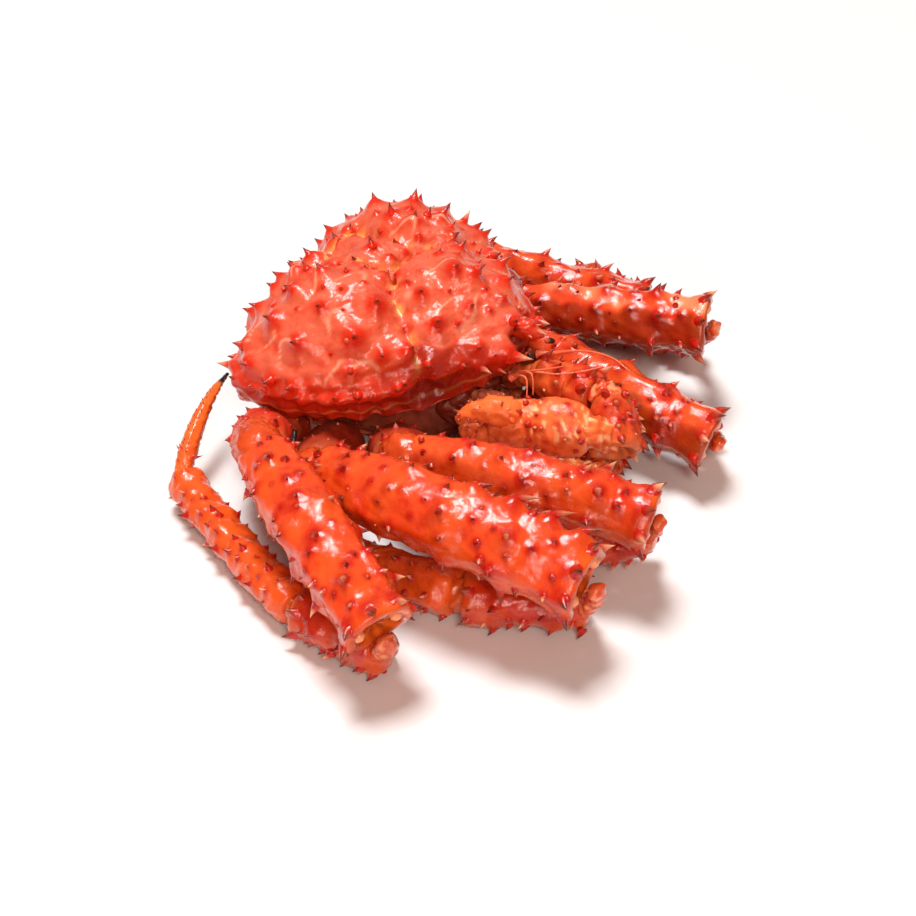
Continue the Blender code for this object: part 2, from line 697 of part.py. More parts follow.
def knuckle_path(rows):
    """Hinge of a folded knee: out of the merus's cup, round its inner edge."""
    start, end, _, radius = rows["merus"]
    end = np.asarray(end, float)
    axis = unit(end - np.asarray(start, float))
    fold = -across(outer_side(rows, "merus"), axis)
    normal = unit(axis + fold * SLANT["merus"])
    inward = unit(fold - axis * SLANT["merus"])
    ball = 0.29 * radius
    carpus_start, carpus_end = (np.asarray(p, float) for p in rows["carpus"][:2])
    mouth = end + normal * ball * 0.95
    bend = end + inward * radius * 0.7 + normal * (ball + 1.5)
    root = carpus_start + unit(carpus_end - carpus_start) * 4.0
    return (mouth, bend, root), ball, np.cross(normal, inward)


def knuckle_solid(rows):
    """The hinge as a flat bent bar, widest across the fold."""
    points, ball, side = knuckle_path(rows)
    return tube_solid(points, (ball * 0.8, ball, ball), 6, side, KNUCKLE_WIDE)


def build_limb(limb_name, rows, kind, rng, group):
    name = "%s_%s" % (limb_name, kind)
    if kind == "dactyl":
        verts, faces = claw_tip_solid(rows[kind])
        return make_piece(name, verts, faces, group)
    if kind in ("fixed", "free"):
        a, b, ra, rb = rows[kind]
        points = bowed_points(a, b, 3.0 if kind == "free" else -2.0, (0, 0, 1), 5)
        radii = [ra * 0.8, ra, 0.75 * ra + 0.25 * rb, 0.4 * ra + 0.6 * rb, rb]
        verts, faces = tube_solid(points, radii, 7)
        return make_piece(name, verts, faces, group)
    limb = Limb(name, kind, rows[kind], outer_side(rows, kind), BOW.get(name, 0.0))
    if limb_name in CLAWS:
        limb.slant = 0.0
    verts, faces = limb_solid(limb)
    obj = make_piece(name, verts, faces, group)
    solids = []
    if kind == "carpus" and limb_name in LEGS:
        solids.append(knuckle_solid(rows))
    spines = [] if limb_name == "claw_left" else limb_spines(limb, rng)
    fuse(obj, spines, solids)
    return obj


def fill_capsules():
    for limb_name, rows in list(LEGS.items()) + list(CLAWS.items()):
        for kind in ORDER:
            if kind in rows:
                a, b, ra, rb = rows[kind]
                name = "%s_%s" % (limb_name, kind)
                if kind == "dactyl":
                    add_capsule(name, a, b, ra + 3.0, ra * 0.3 + 2.0)
                else:
                    add_capsule(name, a, b, ra, rb)
                if kind == "carpus" and limb_name in LEGS:
                    (mouth, bend, root), ball, _ = knuckle_path(rows)
                    add_capsule(name, mouth, bend, ball, ball)
                    add_capsule(name, bend, root, ball, ball)
    add_capsule("abdomen", (0, 48, 11), (0, -30, 11), 30, 20)


SHELL_SIDES = 32
SHELL_SHARES = (1.0, 0.985, 0.94, 0.87, 0.78, 0.67, 0.55, 0.42, 0.28, 0.14)


def main():
    for obj in list(bpy.data.objects):
        bpy.data.objects.remove(obj, do_unlink=True)
    rng = random.Random(SEED)
    fill_capsules()
    crab = make_collection("king_crab")
    shell = make_piece("carapace", *shell_solid(SHELL_SIDES, SHELL_SHARES), crab)
    fuse(shell, shell_spines(rng) + beak_spines())
    make_piece("thorax", *thorax_solid(), crab)
    make_piece("abdomen", *abdomen_solid(), crab)
    for name, (points, radii, sides) in SMALL_PARTS.items():
        make_piece(name, *tube_solid(points, radii, sides), crab)
    for limb_name, rows in list(LEGS.items()) + list(CLAWS.items()):
        for kind in ORDER:
            if kind in rows:
                build_limb(limb_name, rows, kind, rng, crab)


main()
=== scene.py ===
"""Looks of the whole cooked king crab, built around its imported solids.

All tables are in millimetres in the crab's own frame: the crab faces -Y, its
right side is -X and the ground is z = 0.  SHIFT moves that frame to the frame
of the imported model.  Each node gets one dense piece of the same form, with
curved spines, mounds, furrows and joint skin added.
"""
import itertools
import math
import random

import bpy
import numpy as np
from mathutils import Matrix


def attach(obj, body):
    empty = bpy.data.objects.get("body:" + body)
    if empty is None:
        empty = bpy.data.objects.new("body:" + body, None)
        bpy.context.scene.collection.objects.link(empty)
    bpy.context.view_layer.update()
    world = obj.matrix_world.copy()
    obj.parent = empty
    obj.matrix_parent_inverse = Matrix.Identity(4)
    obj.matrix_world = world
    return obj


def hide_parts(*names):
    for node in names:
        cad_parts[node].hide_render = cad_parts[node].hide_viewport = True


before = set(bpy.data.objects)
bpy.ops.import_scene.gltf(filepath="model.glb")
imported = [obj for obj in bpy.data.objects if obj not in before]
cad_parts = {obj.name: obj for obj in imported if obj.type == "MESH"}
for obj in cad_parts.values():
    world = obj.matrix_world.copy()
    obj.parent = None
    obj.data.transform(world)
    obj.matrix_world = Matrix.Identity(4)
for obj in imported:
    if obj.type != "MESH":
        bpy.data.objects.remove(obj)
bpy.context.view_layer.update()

MM = 0.001
SHIFT = np.array((23.0, 43.8, -0.2))    # from the crab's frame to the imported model's, mm
SEED = 7

# ------------------------------------------------------------------ sizes
# rim of the back, from the beak round the left side to the tail edge: x, y, z
RIM = ((0, -91, 74), (7, -82, 73), (17, -75, 72), (31, -63, 71), (47, -47, 69),
       (63, -30, 63), (76, -9, 61), (80, 13, 59), (79, 32, 57), (72, 48, 54),
       (52, 57, 54), (26, 57, 59), (0, 57, 61))
RIM_CENTRE = (0.0, -6.0)        # the rim is measured round this point
SHELL_SHIFT = 3.0               # how far the shell sits to the crab's left
SHELL_ROLL = 0.045              # rise of its left side for each mm across
DOME_TOP = 99.0                 # height of its plain dome
DOME_POWERS = (2.4, 0.66)       # how flat the dome's top is and how steep its sides
# swellings of the back, alike on both sides: x, y, half widths in x and y, height
SWELLINGS = ((0, -38, 19, 17, 6.5), (42, 10, 21, 26, 8.0), (0, 16, 8, 10, 2.5),
             (26, 38, 18, 12, 4.0))
# furrows of the back, alike on both sides: depth, half width, line
FURROWS = ((5.0, 3.6, ((0, -9), (13, -12), (26, -19), (37, -30), (46, -44))),
           (5.0, 3.4, ((13, -12), (12, 4), (15, 16), (22, 30))),
           (2.5, 3.5, ((0, 32), (12, 30), (22, 30))))
# lower edge of the shell's side: degrees from the front, height
WALL_FOOT = ((0, 58), (25, 55), (50, 52), (75, 48), (100, 47), (120, 46),
             (138, 34), (155, 35), (180, 41))

# segments: start, end, radius at the start and at the end; of a dactyl radius and bow
LEGS = {
    "leg_r3": dict(
        base=((-47, 31, 16), (-103, 14, 44), 15, 14.5),
        merus=((-121, 1, 56), (-192, -106, 38), 15, 16.5),
        carpus=((-180, -103, 13.5), (-172, -54, 13), 11, 11.5),
        propodus=((-171, -50, 13), (-112, 53, 13), 11.2, 9.2),
        dactyl=((-108.5, 57, 13.5), (-46, 69, 33), 5.0, 8)),
    "leg_r2": dict(
        base=((-51, -3, 19), (-95, -15, 31), 16, 14.5),
        merus=((-107, -20, 39), (-128, -176, 44.5), 16.5, 17.5),
        carpus=((-107, -170, 14), (-127, -115, 14), 11, 13.5),
        propodus=((-127, -111, 14), (-125, -17, 13), 14.2, 9),
        dactyl=((-124, -13, 13), (-88, 1, 46), 5.6, 1)),
    "leg_r1": dict(
        base=((-47, -33, 22), (-76, -51, 40), 15.5, 13.5),
        merus=((-83, -58, 48), (-72, -183, 46), 13, 15),
        carpus=((-54, -178, 22), (-63, -145, 13), 9.5, 12),
        propodus=((-64, -140, 12), (-66, -42, 11), 10.5, 7),
        dactyl=((-66, -38, 9), (-60, 6, 6), 4.5, -2)),
    "leg_l1": dict(
        base=((47, -45, 25), (43, -50, 34), 8, 8),
        merus=((40, -57, 42), (25, -174, 27), 13.5, 14.8),
        carpus=((46, -167, 13), (56, -126, 12), 9, 10.5),
        propodus=((57, -122, 12), (72, -34, 11), 9.5, 7),
        dactyl=((73, -30, 11), (64, 18, 8), 5, -3)),
    "leg_l2": dict(
        base=((50, -4, 19), (72, -20, 34), 12, 10.5),
        merus=((76, -28, 39), (89, -143, 50), 11.5, 15.3),
        carpus=((121, -129, 20), (126, -100, 11.5), 9, 9.5),
        propodus=((126, -96, 11), (107, 1, 10.5), 9, 7),
        dactyl=((106, 5, 10.5), (82, 48, 9), 5, 4)),
    "leg_l3": dict(
        base=((46, 31, 17), (90, 27, 39), 12.5, 11.5),
        merus=((99, 25, 43), (110, -99, 35), 12, 14.5),
        carpus=((148, -80, 16), (152, -38, 13), 9, 11),
        propodus=((151, -34, 13), (123, 64, 12), 10.5, 7.5),
        dactyl=((122, 68, 12), (88, 104, 13), 5.5, -6)),
}
CLAWS = {
    "claw_right": dict(
        base=((8, -66, 41), (9, -75, 45), 6.5, 6.5),
        merus=((9, -80, 47), (3, -119, 50.5), 8.5, 11.5),
        carpus=((0, -128.5, 53), (-19, -141, 37), 11.5, 12.5),
        palm=((-26, -130.5, 50), (-34, -95, 48), 13.5, 13.5),
        fixed=((-34, -91.5, 40.5), (-42, -67, 41), 7.5, 3.2),
        free=((-37, -91.5, 55.5), (-46, -67, 48.5), 7, 2.8)),
    "claw_left": dict(
        base=((21, -59, 24), (20, -65, 22), 6, 6),
        merus=((19, -69, 22), (14, -106, 18), 7.5, 9.5),
        carpus=((9, -119, 17), (-5, -129, 14), 9, 10),
        palm=((-14, -121, 14), (-24, -88, 14), 10, 10.5),
        fixed=((-22, -84, 9.5), (-28, -62, 9.5), 5.5, 2.5),
        free=((-26, -85, 20.5), (-32, -63, 15), 4.8, 2.2)),
}
LIMBS = {**LEGS, **CLAWS}

MERUS_SLANT = 0.52              # slant of an upper leg segment's open end
KNUCKLE_SHARE = 0.29            # half thickness of a knee's hinge over the segment's radius
KNUCKLE_WIDE = 1.5              # its width over its thickness
# how far the middle of a segment bows to its outer side
BOW = {"leg_r2_merus": 18.0, "leg_r1_merus": 6.0, "leg_r3_merus": 4.0, "leg_l1_merus": 2.0,
       "leg_r3_propodus": 2.5}
# thickness of a segment over its width
FLAT = {"base": 0.84, "merus": 0.88, "carpus": 0.95, "propodus": 0.92, "palm": 0.82}
# outlines of the segments: how the place is told, the place, radius over the even taper.
# "sh" is a share of the length, "mm" a length from the start and "end" one from the far end,
# where the last two turn in to the bottom of the open end
PROFILE = {
    "base": (("sh", 0.02, 0.5), ("sh", 0.1, 0.84), ("sh", 0.3, 1.0), ("sh", 0.7, 1.0),
             ("sh", 0.92, 0.96), ("sh", 1.0, 0.68)),
    "merus": (("mm", 0.8, 0.45), ("mm", 4, 0.78), ("mm", 10, 0.9), ("sh", 0.18, 0.95),
              ("sh", 0.36, 1.05), ("sh", 0.66, 1.0), ("end", 14, 0.95), ("end", 5, 1.04),
              ("end", 0, 1.0), ("end", 0.4, 0.78), ("end", 5, 0.52)),
    "carpus": (("mm", 0.8, 0.5), ("mm", 3.5, 0.85), ("mm", 9, 1.0), ("sh", 0.55, 0.95),
               ("end", 6, 1.05), ("end", 0, 0.98), ("end", 0.3, 0.76), ("end", 3, 0.55)),
    "propodus": (("mm", 0.8, 0.62), ("mm", 3.0, 0.88), ("mm", 10, 1.0), ("sh", 0.4, 0.94),
                 ("sh", 0.75, 0.98), ("end", 4, 1.08), ("end", 0, 0.95), ("end", 0.3, 0.7),
                 ("end", 3, 0.5)),
    "palm": (("mm", 0.8, 0.6), ("mm", 4, 0.88), ("sh", 0.3, 1.04), ("sh", 0.6, 1.06),
             ("end", 8, 0.93), ("end", 1, 0.8), ("end", 0, 0.72), ("end", 0.5, 0.6),
             ("end", 2, 0.5)),
}
# depth of the open end; below nothing where it bulges
CUP_DEPTH = {"base": -0.6, "merus": 5.4, "carpus": 3.3, "propodus": 3.3, "palm": 3.3}

# rows of spines, alike on both sides: angle from the outer side, spacing, length, and the
# shares of the segment's length where the row starts and ends
SPINE_ROWS = {
    "base": ((0, 17, 5.0, 0.45, 0.9), (50, 17, 4.5, 0.5, 0.9)),
    "merus": ((0, 29, 6.5, 0.1, 0.9), (48, 31, 6.0, 0.16, 0.88), (100, 29, 7.0, 0.1, 0.9)),
    "carpus": ((0, 15, 5.0, 0.2, 0.85), (60, 16, 6.0, 0.25, 0.9)),
    "propodus": ((0, 28, 5.0, 0.1, 0.9), (65, 28, 5.5, 0.14, 0.86)),
    "palm": ((0, 16, 3.0, 0.2, 0.9), (60, 16, 3.0, 0.2, 0.9)),
}
# spines round the far end: count, length
RIM_SPINES = {"base": (4, 4.0), "merus": (5, 8.0), "carpus": (4, 6.5)}
# smaller spines between them, alike on both sides: angles of the rows, spacing, length
FINE_ROWS = {
    "base": ((0, 32, 66, 100), 11.0, 2.8),
    "merus": ((0, 28, 56, 84, 112, 145), 17.0, 3.9),
    "carpus": ((0, 30, 60, 90, 125), 7.5, 4.8),
    "propodus": ((0, 34, 68, 100, 135), 9.5, 3.6),
    "palm": ((0, 28, 56, 84, 115), 8.0, 2.4),
}

# spines of the back: x, y, length
BACK_SPINES = (
    (-13, 9, 6.5), (-39, -16, 7.0), (-56, -14, 7.0), (-66, 12, 6.5), (-58, 30, 6.5),
    (-52, 7, 5.0), (-33, 18, 5.5), (-45, 27, 5.5), (-1, 8, 5.5), (27, -1, 6.0),
    (-73, 36, 5.5), (-78, 21, 6.0), (-78, 9, 5.5), (-66, -17, 5.0), (-54, -28, 5.5),
    (-69, -22, 5.5), (-57, -38, 6.0), (-25, -65, 5.0), (-30, -45, 6.5), (-14, -55, 4.5),
    (-22, -32, 5.5), (-4, -41, 5.5), (13, 1, 5.0), (2, -49, 6.0), (13, -59, 6.5),
    (-5, -75, 5.0), (-44, -48, 6.0), (-46, -37, 5.5), (-65, 44, 6.0), (32, -19, 6.0),
    (8, 34, 5.5), (-10, 38, 6.0), (-27, 44, 6.0), (-44, 47, 6.0), (30, -48, 6.5),
    (44, -36, 6.5), (56, -23, 7.0), (42, -8, 6.5), (60, 0, 6.5), (46, 10, 6.5),
    (28, 12, 6.0), (62, 22, 6.5), (40, 28, 6.5), (26, 46, 6.0), (44, 46, 6.0),
    (60, 40, 4.0), (18, -32, 5.5), (68, -14, 6.0))
# more of them along the edge of the back
EDGE_SPINES = (
    (-40, 53, 6.5), (-33, 45, 5.0), (-28, 36, 5.5), (-29, 29, 4.5), (-9, 47, 5.5), (-4, 51, 5.0),
    (11, 54, 4.5), (29, 53, 6.5), (38, 53, 4.5), (51, 49, 6.0), (49, 41, 5.0), (63, 37, 3.5),
    (61, 30, 5.5), (61, 16, 7.0), (66, 11, 5.0), (68, 6, 5.5), (73, 1, 5.0), (59, -17, 6.5),
    (60, -26, 5.0), (18, 33, 4.0), (40, -15, 4.0), (37, -3, 4.5))
LEAST_SPINE_GAP = 5.0           # one nearer than this to another is left out
RIM_SPINE_COUNT = 26            # along each half of the rim
SMALL_SPINE_TRIES = 2600        # random places tried for the small ones between
SMALL_SPINE_GAP = 9.0


# ------------------------------------------------------------------ vectors
def floats(values):
    """The values as an array that can be reckoned with."""
    return np.asarray(values, float)


def unit(v):
    """Vectors of length one, along the last axis."""
    v = floats(v)
    return v / np.maximum(np.linalg.norm(v, axis=-1, keepdims=True), 1e-9)


def across(v, axis):
    """The part of v that is square to the axis, as a unit vector."""
    v = floats(v)
    return unit(v - np.sum(v * axis, axis=-1, keepdims=True) * axis)


def smooth(low, high, x):
    """Eases from 0 where x is low to 1 where it is high; low may be the larger."""
    t = np.clip((floats(x) - low) / (high - low), 0.0, 1.0)
    return t * t * (3 - 2 * t)


def turn(count):
    """The angles of count equal steps round a circle."""
    return 2 * math.pi * np.arange(count) / count


def degrees_off(angle):
    """How far an angle is from zero, in degrees, whichever way round."""
    return np.abs(np.degrees((angle + math.pi) % (2 * math.pi) - math.pi))


def waves(points, size, seed, count=14):
    """Smooth random field of about unit spread, with waves about size mm long."""
    rng = np.random.default_rng(seed)
    k = unit(rng.normal(size=(count, 3))) * 2 * math.pi / size
    k = k * rng.uniform(0.6, 1.5, (count, 1))
    phase = rng.uniform(0, 2 * math.pi, count)
    return np.sin(points @ k.T + phase).sum(axis=-1) * math.sqrt(2.0 / count)


def ripples(points, rows):
    """Low relief made of waves, each given by its height, size and seed."""
    return sum(height * waves(points, size, seed) for height, size, seed in rows)


def own_rng(name):
    """The random numbers of one piece, the same in each run."""
    return random.Random("%d %s" % (SEED, name))


def seed_of(name):
    """The seed of a piece's waves."""
    return sum((i + 1) * ord(c) for i, c in enumerate(name)) % 99991


def hermite(p1, p2, slope1, slope2, t):
    """Points at the shares t of a smooth curve from p1 to p2."""
    return ((2 * t ** 3 - 3 * t ** 2 + 1) * p1 + (t ** 3 - 2 * t ** 2 + t) * slope1
            + (-2 * t ** 3 + 3 * t ** 2) * p2 + (t ** 3 - t ** 2) * slope2)


def smooth_rows(rows, count_between, pull=0.5):
    """Smooth curve through the rows, in the counts that count_between(row, next) gives."""
    rows = floats(rows)
    out = []
    for i in range(len(rows) - 1):
        before = rows[max(i - 1, 0)]
        after = rows[min(i + 2, len(rows) - 1)]
        count = count_between(rows[i], rows[i + 1])
        t = (np.arange(count) / count)[:, None]
        out.append(hermite(rows[i], rows[i + 1], pull * (rows[i + 1] - before),
                           pull * (after - rows[i]), t))
    return np.vstack(out + [rows[-1:]])


def resample(points, step):
    """Smooth curve through the rows, without overshoot, in steps of about that length."""
    p = floats(points)
    ext = np.vstack([2 * p[0] - p[1], p, 2 * p[-1] - p[-2]])
    out = []
    for i in range(1, len(ext) - 2):
        p0, p1, p2, p3 = ext[i - 1:i + 3]
        count = max(1, int(round(np.linalg.norm((p2 - p1)[:2]) / step)))
        t = (np.arange(count) / count)[:, None]
        slopes = [0.5 * (p2 - p0), 0.5 * (p3 - p1)]
        most = 1.4 * np.linalg.norm(p2 - p1)
        slopes = [m * min(1.0, most / max(np.linalg.norm(m), 1e-9)) for m in slopes]
        out.append(hermite(p1, p2, *slopes, t))
    return np.vstack(out + [p[-1:]])


def rings_round(centre, u, v, wide, high, sides):
    """Rings of points round the centres, wide along u and high along v."""
    angle = turn(sides)
    return (centre[..., None, :] + u[..., None, :] * (wide[..., None] * np.cos(angle))[..., None]
            + v[..., None, :] * (high[..., None] * np.sin(angle))[..., None])


# ------------------------------------------------------------------ skins
# painted masks per point: deep red, cream, dark, yellow; red, dark and cream also carry painted
# shade and painted highlight in places
RED, CREAM, DARK, YELLOW = range(4)
GROUND_GAP = 0.3                # nothing reaches lower than this


class Skin:
    """Points, faces and painted masks that become one piece."""

    def __init__(self, name):
        self.name = name
        self.points = []
        self.masks = []
        self.faces = []
        self.count = 0

    def add(self, points, masks, faces):
        """Adds points with their paint, and blocks of faces over them."""
        points = floats(points).reshape(-1, 3)
        self.points.append(points)
        self.masks.append(np.clip(floats(masks).reshape(-1, 4), 0, 1))
        for block in faces:
            if len(block):
                self.faces.extend((np.asarray(block) + self.count).tolist())
        self.count += len(points)

    def add_grid(self, grid, masks, start, end):
        """Closed skin over rows of equal count, closed by a point at each end."""
        rows, count = grid.shape[:2]
        points = np.vstack([grid.reshape(-1, 3), [start], [end]])
        painted = np.vstack([masks.reshape(-1, 4), masks[0].mean(0), masks[-1].mean(0)])
        r, k = np.meshgrid(np.arange(rows - 1), np.arange(count), indexing="ij")
        nxt = (k + 1) % count
        quads = np.stack([r * count + k, r * count + nxt, (r + 1) * count + nxt,
                          (r + 1) * count + k], axis=-1).reshape(-1, 4)
        k = np.arange(count)
        first = np.stack([np.full(count, rows * count), (k + 1) % count, k], axis=-1)
        low = (rows - 1) * count
        last = np.stack([low + k, low + (k + 1) % count,
                         np.full(count, rows * count + 1)], axis=-1)
        if signed_volume(points, quads) < 0:
            quads, first, last = quads[:, ::-1], first[:, ::-1], last[:, ::-1]
        self.add(points, painted, (quads, first, last))

    def piece(self, material, slot, node):
        """Makes the object, hangs it from the root and hides the node's imported part."""
        mesh = bpy.data.meshes.new(self.name)
        points = np.vstack(self.points)
        points[:, 2] = np.maximum(points[:, 2], GROUND_GAP)
        points = (points + SHIFT) * MM
        mesh.from_pydata(points.tolist(), [], self.faces)
        mesh.polygons.foreach_set("use_smooth", [True] * len(mesh.polygons))
        layer = mesh.attributes.new("paint", "FLOAT_COLOR", "POINT")
        layer.data.foreach_set("color", np.vstack(self.masks).astype(np.float32).ravel())
        mesh.materials.append(material)
        mesh.update()
        obj = bpy.data.objects.new(self.name, mesh)
        bpy.context.scene.collection.objects.link(obj)
        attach(obj, "root")
        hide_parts(node)


def signed_volume(points, quads):
    """Six times the volume inside, below nothing if the faces look inwards."""
    a, b, c, d = (points[quads[:, i]] for i in range(4))
    one = np.einsum("ij,ij->i", a, np.cross(b, c)).sum()
    two = np.einsum("ij,ij->i", a, np.cross(c, d)).sum()
    return one + two


def surface_normals(grid):
    """Unit normals of a grid, all to the same side."""
    along = np.gradient(grid, axis=0)
    round_it = np.roll(grid, -1, axis=1) - np.roll(grid, 1, axis=1)
    return unit(np.cross(along, round_it))


def grid_normals(grid):
    """Outward normals of a closed grid whose rows run round it."""
    n = surface_normals(grid)
    away = grid - grid.mean(axis=(0, 1))
    return n if np.sum(n * away) >= 0 else -n


def limb_normals(grid):
    """Normals of a limb's grid, kept facing away from its axis and out of its cup."""
    n = surface_normals(grid)
    middle = len(grid) // 2
    away = grid[middle] - grid[middle].mean(axis=0)
    return n if np.sum(n[middle] * away) >= 0 else -n


# ------------------------------------------------------------------ spines
class Spine:
    """A thorn with the mound that it stands on."""

    def __init__(self, base, normal, direction, length, radius, tone=0.5, hook=0.0, swell=1.0,
                 spread=None):
        self.base = floats(base)
        self.normal = unit(normal)
        self.direction = unit(direction)
        self.length = length
        self.radius = radius
        self.tone = tone            # 0 dark tip, 1 cream tip
        self.hook = hook            # how far the tip leans on, as share of length
        self.swell = swell          # height of its mound over the usual one
        self.spread = spread or 1.2 * radius    # how wide its mound is


# rings of a spine: height as a share of its length; the first is sunk in the skin
RING_SHARES = np.array((-0.35, 0.0, 0.06, 0.14, 0.26, 0.42, 0.62, 0.8, 0.93))


def add_spines(skin, spines, sides=8):
    """Curved thorns with flared roots, all in one step."""
    if not spines:
        return

    def column(key):
        return np.array([getattr(s, key) for s in spines]).reshape(len(spines), 1, -1)

    base, normal, aim = column("base"), column("normal"), column("direction")
    length, tone, hook = column("length"), column("tone")[..., 0], column("hook")
    lean = across(aim, normal)
    t = RING_SHARES[None, :, None]
    up = np.maximum(t, 0.0)
    centre = base + length * (np.minimum(t, 0) * normal + up * aim + hook * up ** 2 * lean)
    bent = smooth(0.0, 0.4, up)
    axis = unit((1 - bent) * normal + bent * aim)
    u = across(np.broadcast_to(across((0.31, 0.52, 0.79), axis[:, -1:]), axis.shape), axis)
    shares = np.maximum(RING_SHARES, 0.0)
    radius = column("radius")[..., 0] * (0.86 * (1 - shares) ** 1.15
                                         + 0.18 * np.exp(-shares / 0.1))
    ring = rings_round(centre, u, np.cross(axis, u), radius, radius, sides)
    tip = base + length * (aim + hook * lean)
    count, rings = ring.shape[:2]
    per = rings * sides + 1
    shares = np.append(np.repeat(shares, sides), 1.0)
    end = smooth(0.22, 0.8, shares)
    masks = np.zeros((count, per, 4))
    masks[..., RED] = 1 - smooth(0.35, 0.8, shares)
    masks[..., CREAM] = end * tone
    masks[..., DARK] = end * (1 - tone)
    k = np.arange(sides)
    nxt = (k + 1) % sides
    low = sides * np.arange(rings - 1)[:, None]
    quads = np.stack([low + k, low + nxt, low + sides + nxt, low + sides + k], axis=-1)
    top = (rings - 1) * sides
    fans = np.stack([top + k, top + nxt, np.full(sides, per - 1)], axis=-1)
    start = (np.arange(count) * per)[:, None, None]
    skin.add(np.concatenate([ring.reshape(count, -1, 3), tip], axis=1), masks,
             ((quads.reshape(-1, 4)[None] + start).reshape(-1, 4),
              (fans[None] + start).reshape(-1, 3),
              (k[::-1][None, None] + start).reshape(-1, sides)))


def mound(spine, d, broad, narrow):
    """Height of the mound under a spine at the distance d from its middle."""
    return spine.swell * spine.length * (broad * np.exp(-(d / (1.8 * spine.spread)) ** 2)
                                         + narrow * np.exp(-d / (0.8 * spine.spread)))


SPINE_SUNK = 0.4                # how deep a spine's root sits in its mound
SPINE_LEFT = 0.82               # share of its length that is left above


def dress(grid, normals, spines, masks, broad=0.3, narrow=0.26):
    """Raises a broad red mound with a narrow cone under each spine, and seats the spine."""
    flat = grid.reshape(-1, 3)
    lift = np.zeros(len(flat))
    red = masks.reshape(-1, 4)[:, RED]
    for s in spines:
        d = np.sqrt(((flat - s.base) ** 2).sum(axis=1))
        lift = np.maximum(lift, mound(s, d, broad, narrow))
        red = np.maximum(red, np.exp(-(d / (1.15 * s.spread)) ** 4))
    masks.reshape(-1, 4)[:, RED] = red
    grid += normals * lift.reshape(grid.shape[:2])[..., None]
    for s in spines:
        s.base = s.base + s.normal * (mound(s, 1.05 * s.radius, broad, narrow) - SPINE_SUNK)
        s.length *= SPINE_LEFT


# ------------------------------------------------------------------ limb forms
OUTER_SLANT = 0.3               # share of the far end's slant kept on the outer side
LEG_EDGES = (55.0, 118.0)       # blunt edges of a leg, degrees either way from its outer side
EDGE_SHARE = 0.07               # how far they stand out, as a share of the radius


def edge_swell(angle):
    """One at a leg's blunt edges, below nothing on the flat faces between them."""
    off = degrees_off(angle)
    return sum(np.exp(-((off - edge) / 15.0) ** 2) for edge in LEG_EDGES) - 0.4


def node_name(owner, kind):
    return "%s_%s" % (owner, kind)


class Limb:
    """A straight or bowed tapering segment, given by rings along its axis."""

    def __init__(self, owner, kind, rows):
        start, end, self.ra, self.rb = rows[kind]
        self.owner = owner
        self.kind = kind
        self.name = node_name(owner, kind)
        self.a = floats(start)
        self.b = floats(end)
        self.length = np.linalg.norm(self.b - self.a)
        self.axis = (self.b - self.a) / self.length
        self.outer = across(outer_side(rows, kind), self.axis)
        self.side = np.cross(self.axis, self.outer)
        self.flat = FLAT[kind]
        self.on_leg = owner in LEGS
        self.slant = MERUS_SLANT if kind == "merus" and self.on_leg else 0.0
        self.bow = BOW.get(self.name, 0.0)
        self.edges = EDGE_SHARE if kind in ("merus", "propodus") and self.on_leg else 0.0

    def radius(self, s):
        return self.ra + (self.rb - self.ra) * s

    def slant_at(self, s):
        """How far the rings lean at a share of the length."""
        return self.slant * np.maximum(0.0, (floats(s) - 0.55) / 0.45)

    def point(self, along, radius, angle, slant=0.0):
        """Surface point: distance along, radius there, angle from outer side."""
        along, radius, angle, slant = (floats(x)[..., None]
                                       for x in (along, radius, angle, slant))
        radius = radius * (1 + self.edges * edge_swell(angle))
        q = radius * self.flat * np.cos(angle)
        share = along / self.length
        bend = self.bow * 4 * share * (1 - share)
        lean = slant * np.where(q > 0, OUTER_SLANT * q, q)
        return (self.a + self.axis * (along + lean) + self.outer * (q + bend)
                + self.side * radius * np.sin(angle))


def outer_side(rows, kind):
    """Side of a segment that faces away from its folded neighbour."""
    def middle(part):
        return 0.5 * (floats(rows[part][0]) + floats(rows[part][1]))
    if kind == "merus" and "palm" not in rows:
        return floats(rows["merus"][1]) - floats(rows["carpus"][0])
    if kind in ("carpus", "propodus"):
        return middle(kind) - middle("merus") + np.array((0, 0, 12.0))
    if kind == "palm":
        return np.array((-0.8, -0.1, 0.55))
    return np.array((0.0, 0.0, 1.0))


def profile_line(limb, step):
    """Rows of along, radius, slant and how deep in the end cup, from end to end."""
    rows = [(0.0, 0.05, 0.0, 0.0)]
    table = PROFILE[limb.kind]
    cup = CUP_DEPTH[limb.kind]
    for left, (mode, value, share) in zip(range(len(table), 0, -1), table):
        along = {"mm": value, "sh": value * limb.length, "end": limb.length - value}[mode]
        s = along / limb.length
        slant = float(limb.slant_at(s)) * (0.8 if left == 1 else 1.0)
        inside = {1: 1.0, 2: 0.75}.get(left, 0.0) if cup > 0 else 0.0
        rows.append((along, limb.radius(s) * share, slant, inside))
    rows.append((limb.length - cup, 0.05, rows[-1][2], 1.0 if cup > 0 else 0.0))
    line = resample(rows, step)
    line[:, 1] = np.maximum(line[:, 1], 0.04)
    line[:, 3] = np.clip(line[:, 3], 0, 1)
    return line


# ------------------------------------------------------------------ clearances
CAPSULES = []                   # name, ends and end radii of each segment
NEAR_GROUND = 6.0               # below this a tip may come as near as the ground
LEAST_HEIGHT = 0.2              # no tip is lower
SHELL_RADIUS = 75.0             # about the shell's, to turn a margin into a share of it


def add_capsule(name, a, b, ra, rb):
    """Adds a rounded cone that the spines of other pieces keep clear of."""
    CAPSULES.append((name, floats(a), floats(b), ra, rb))


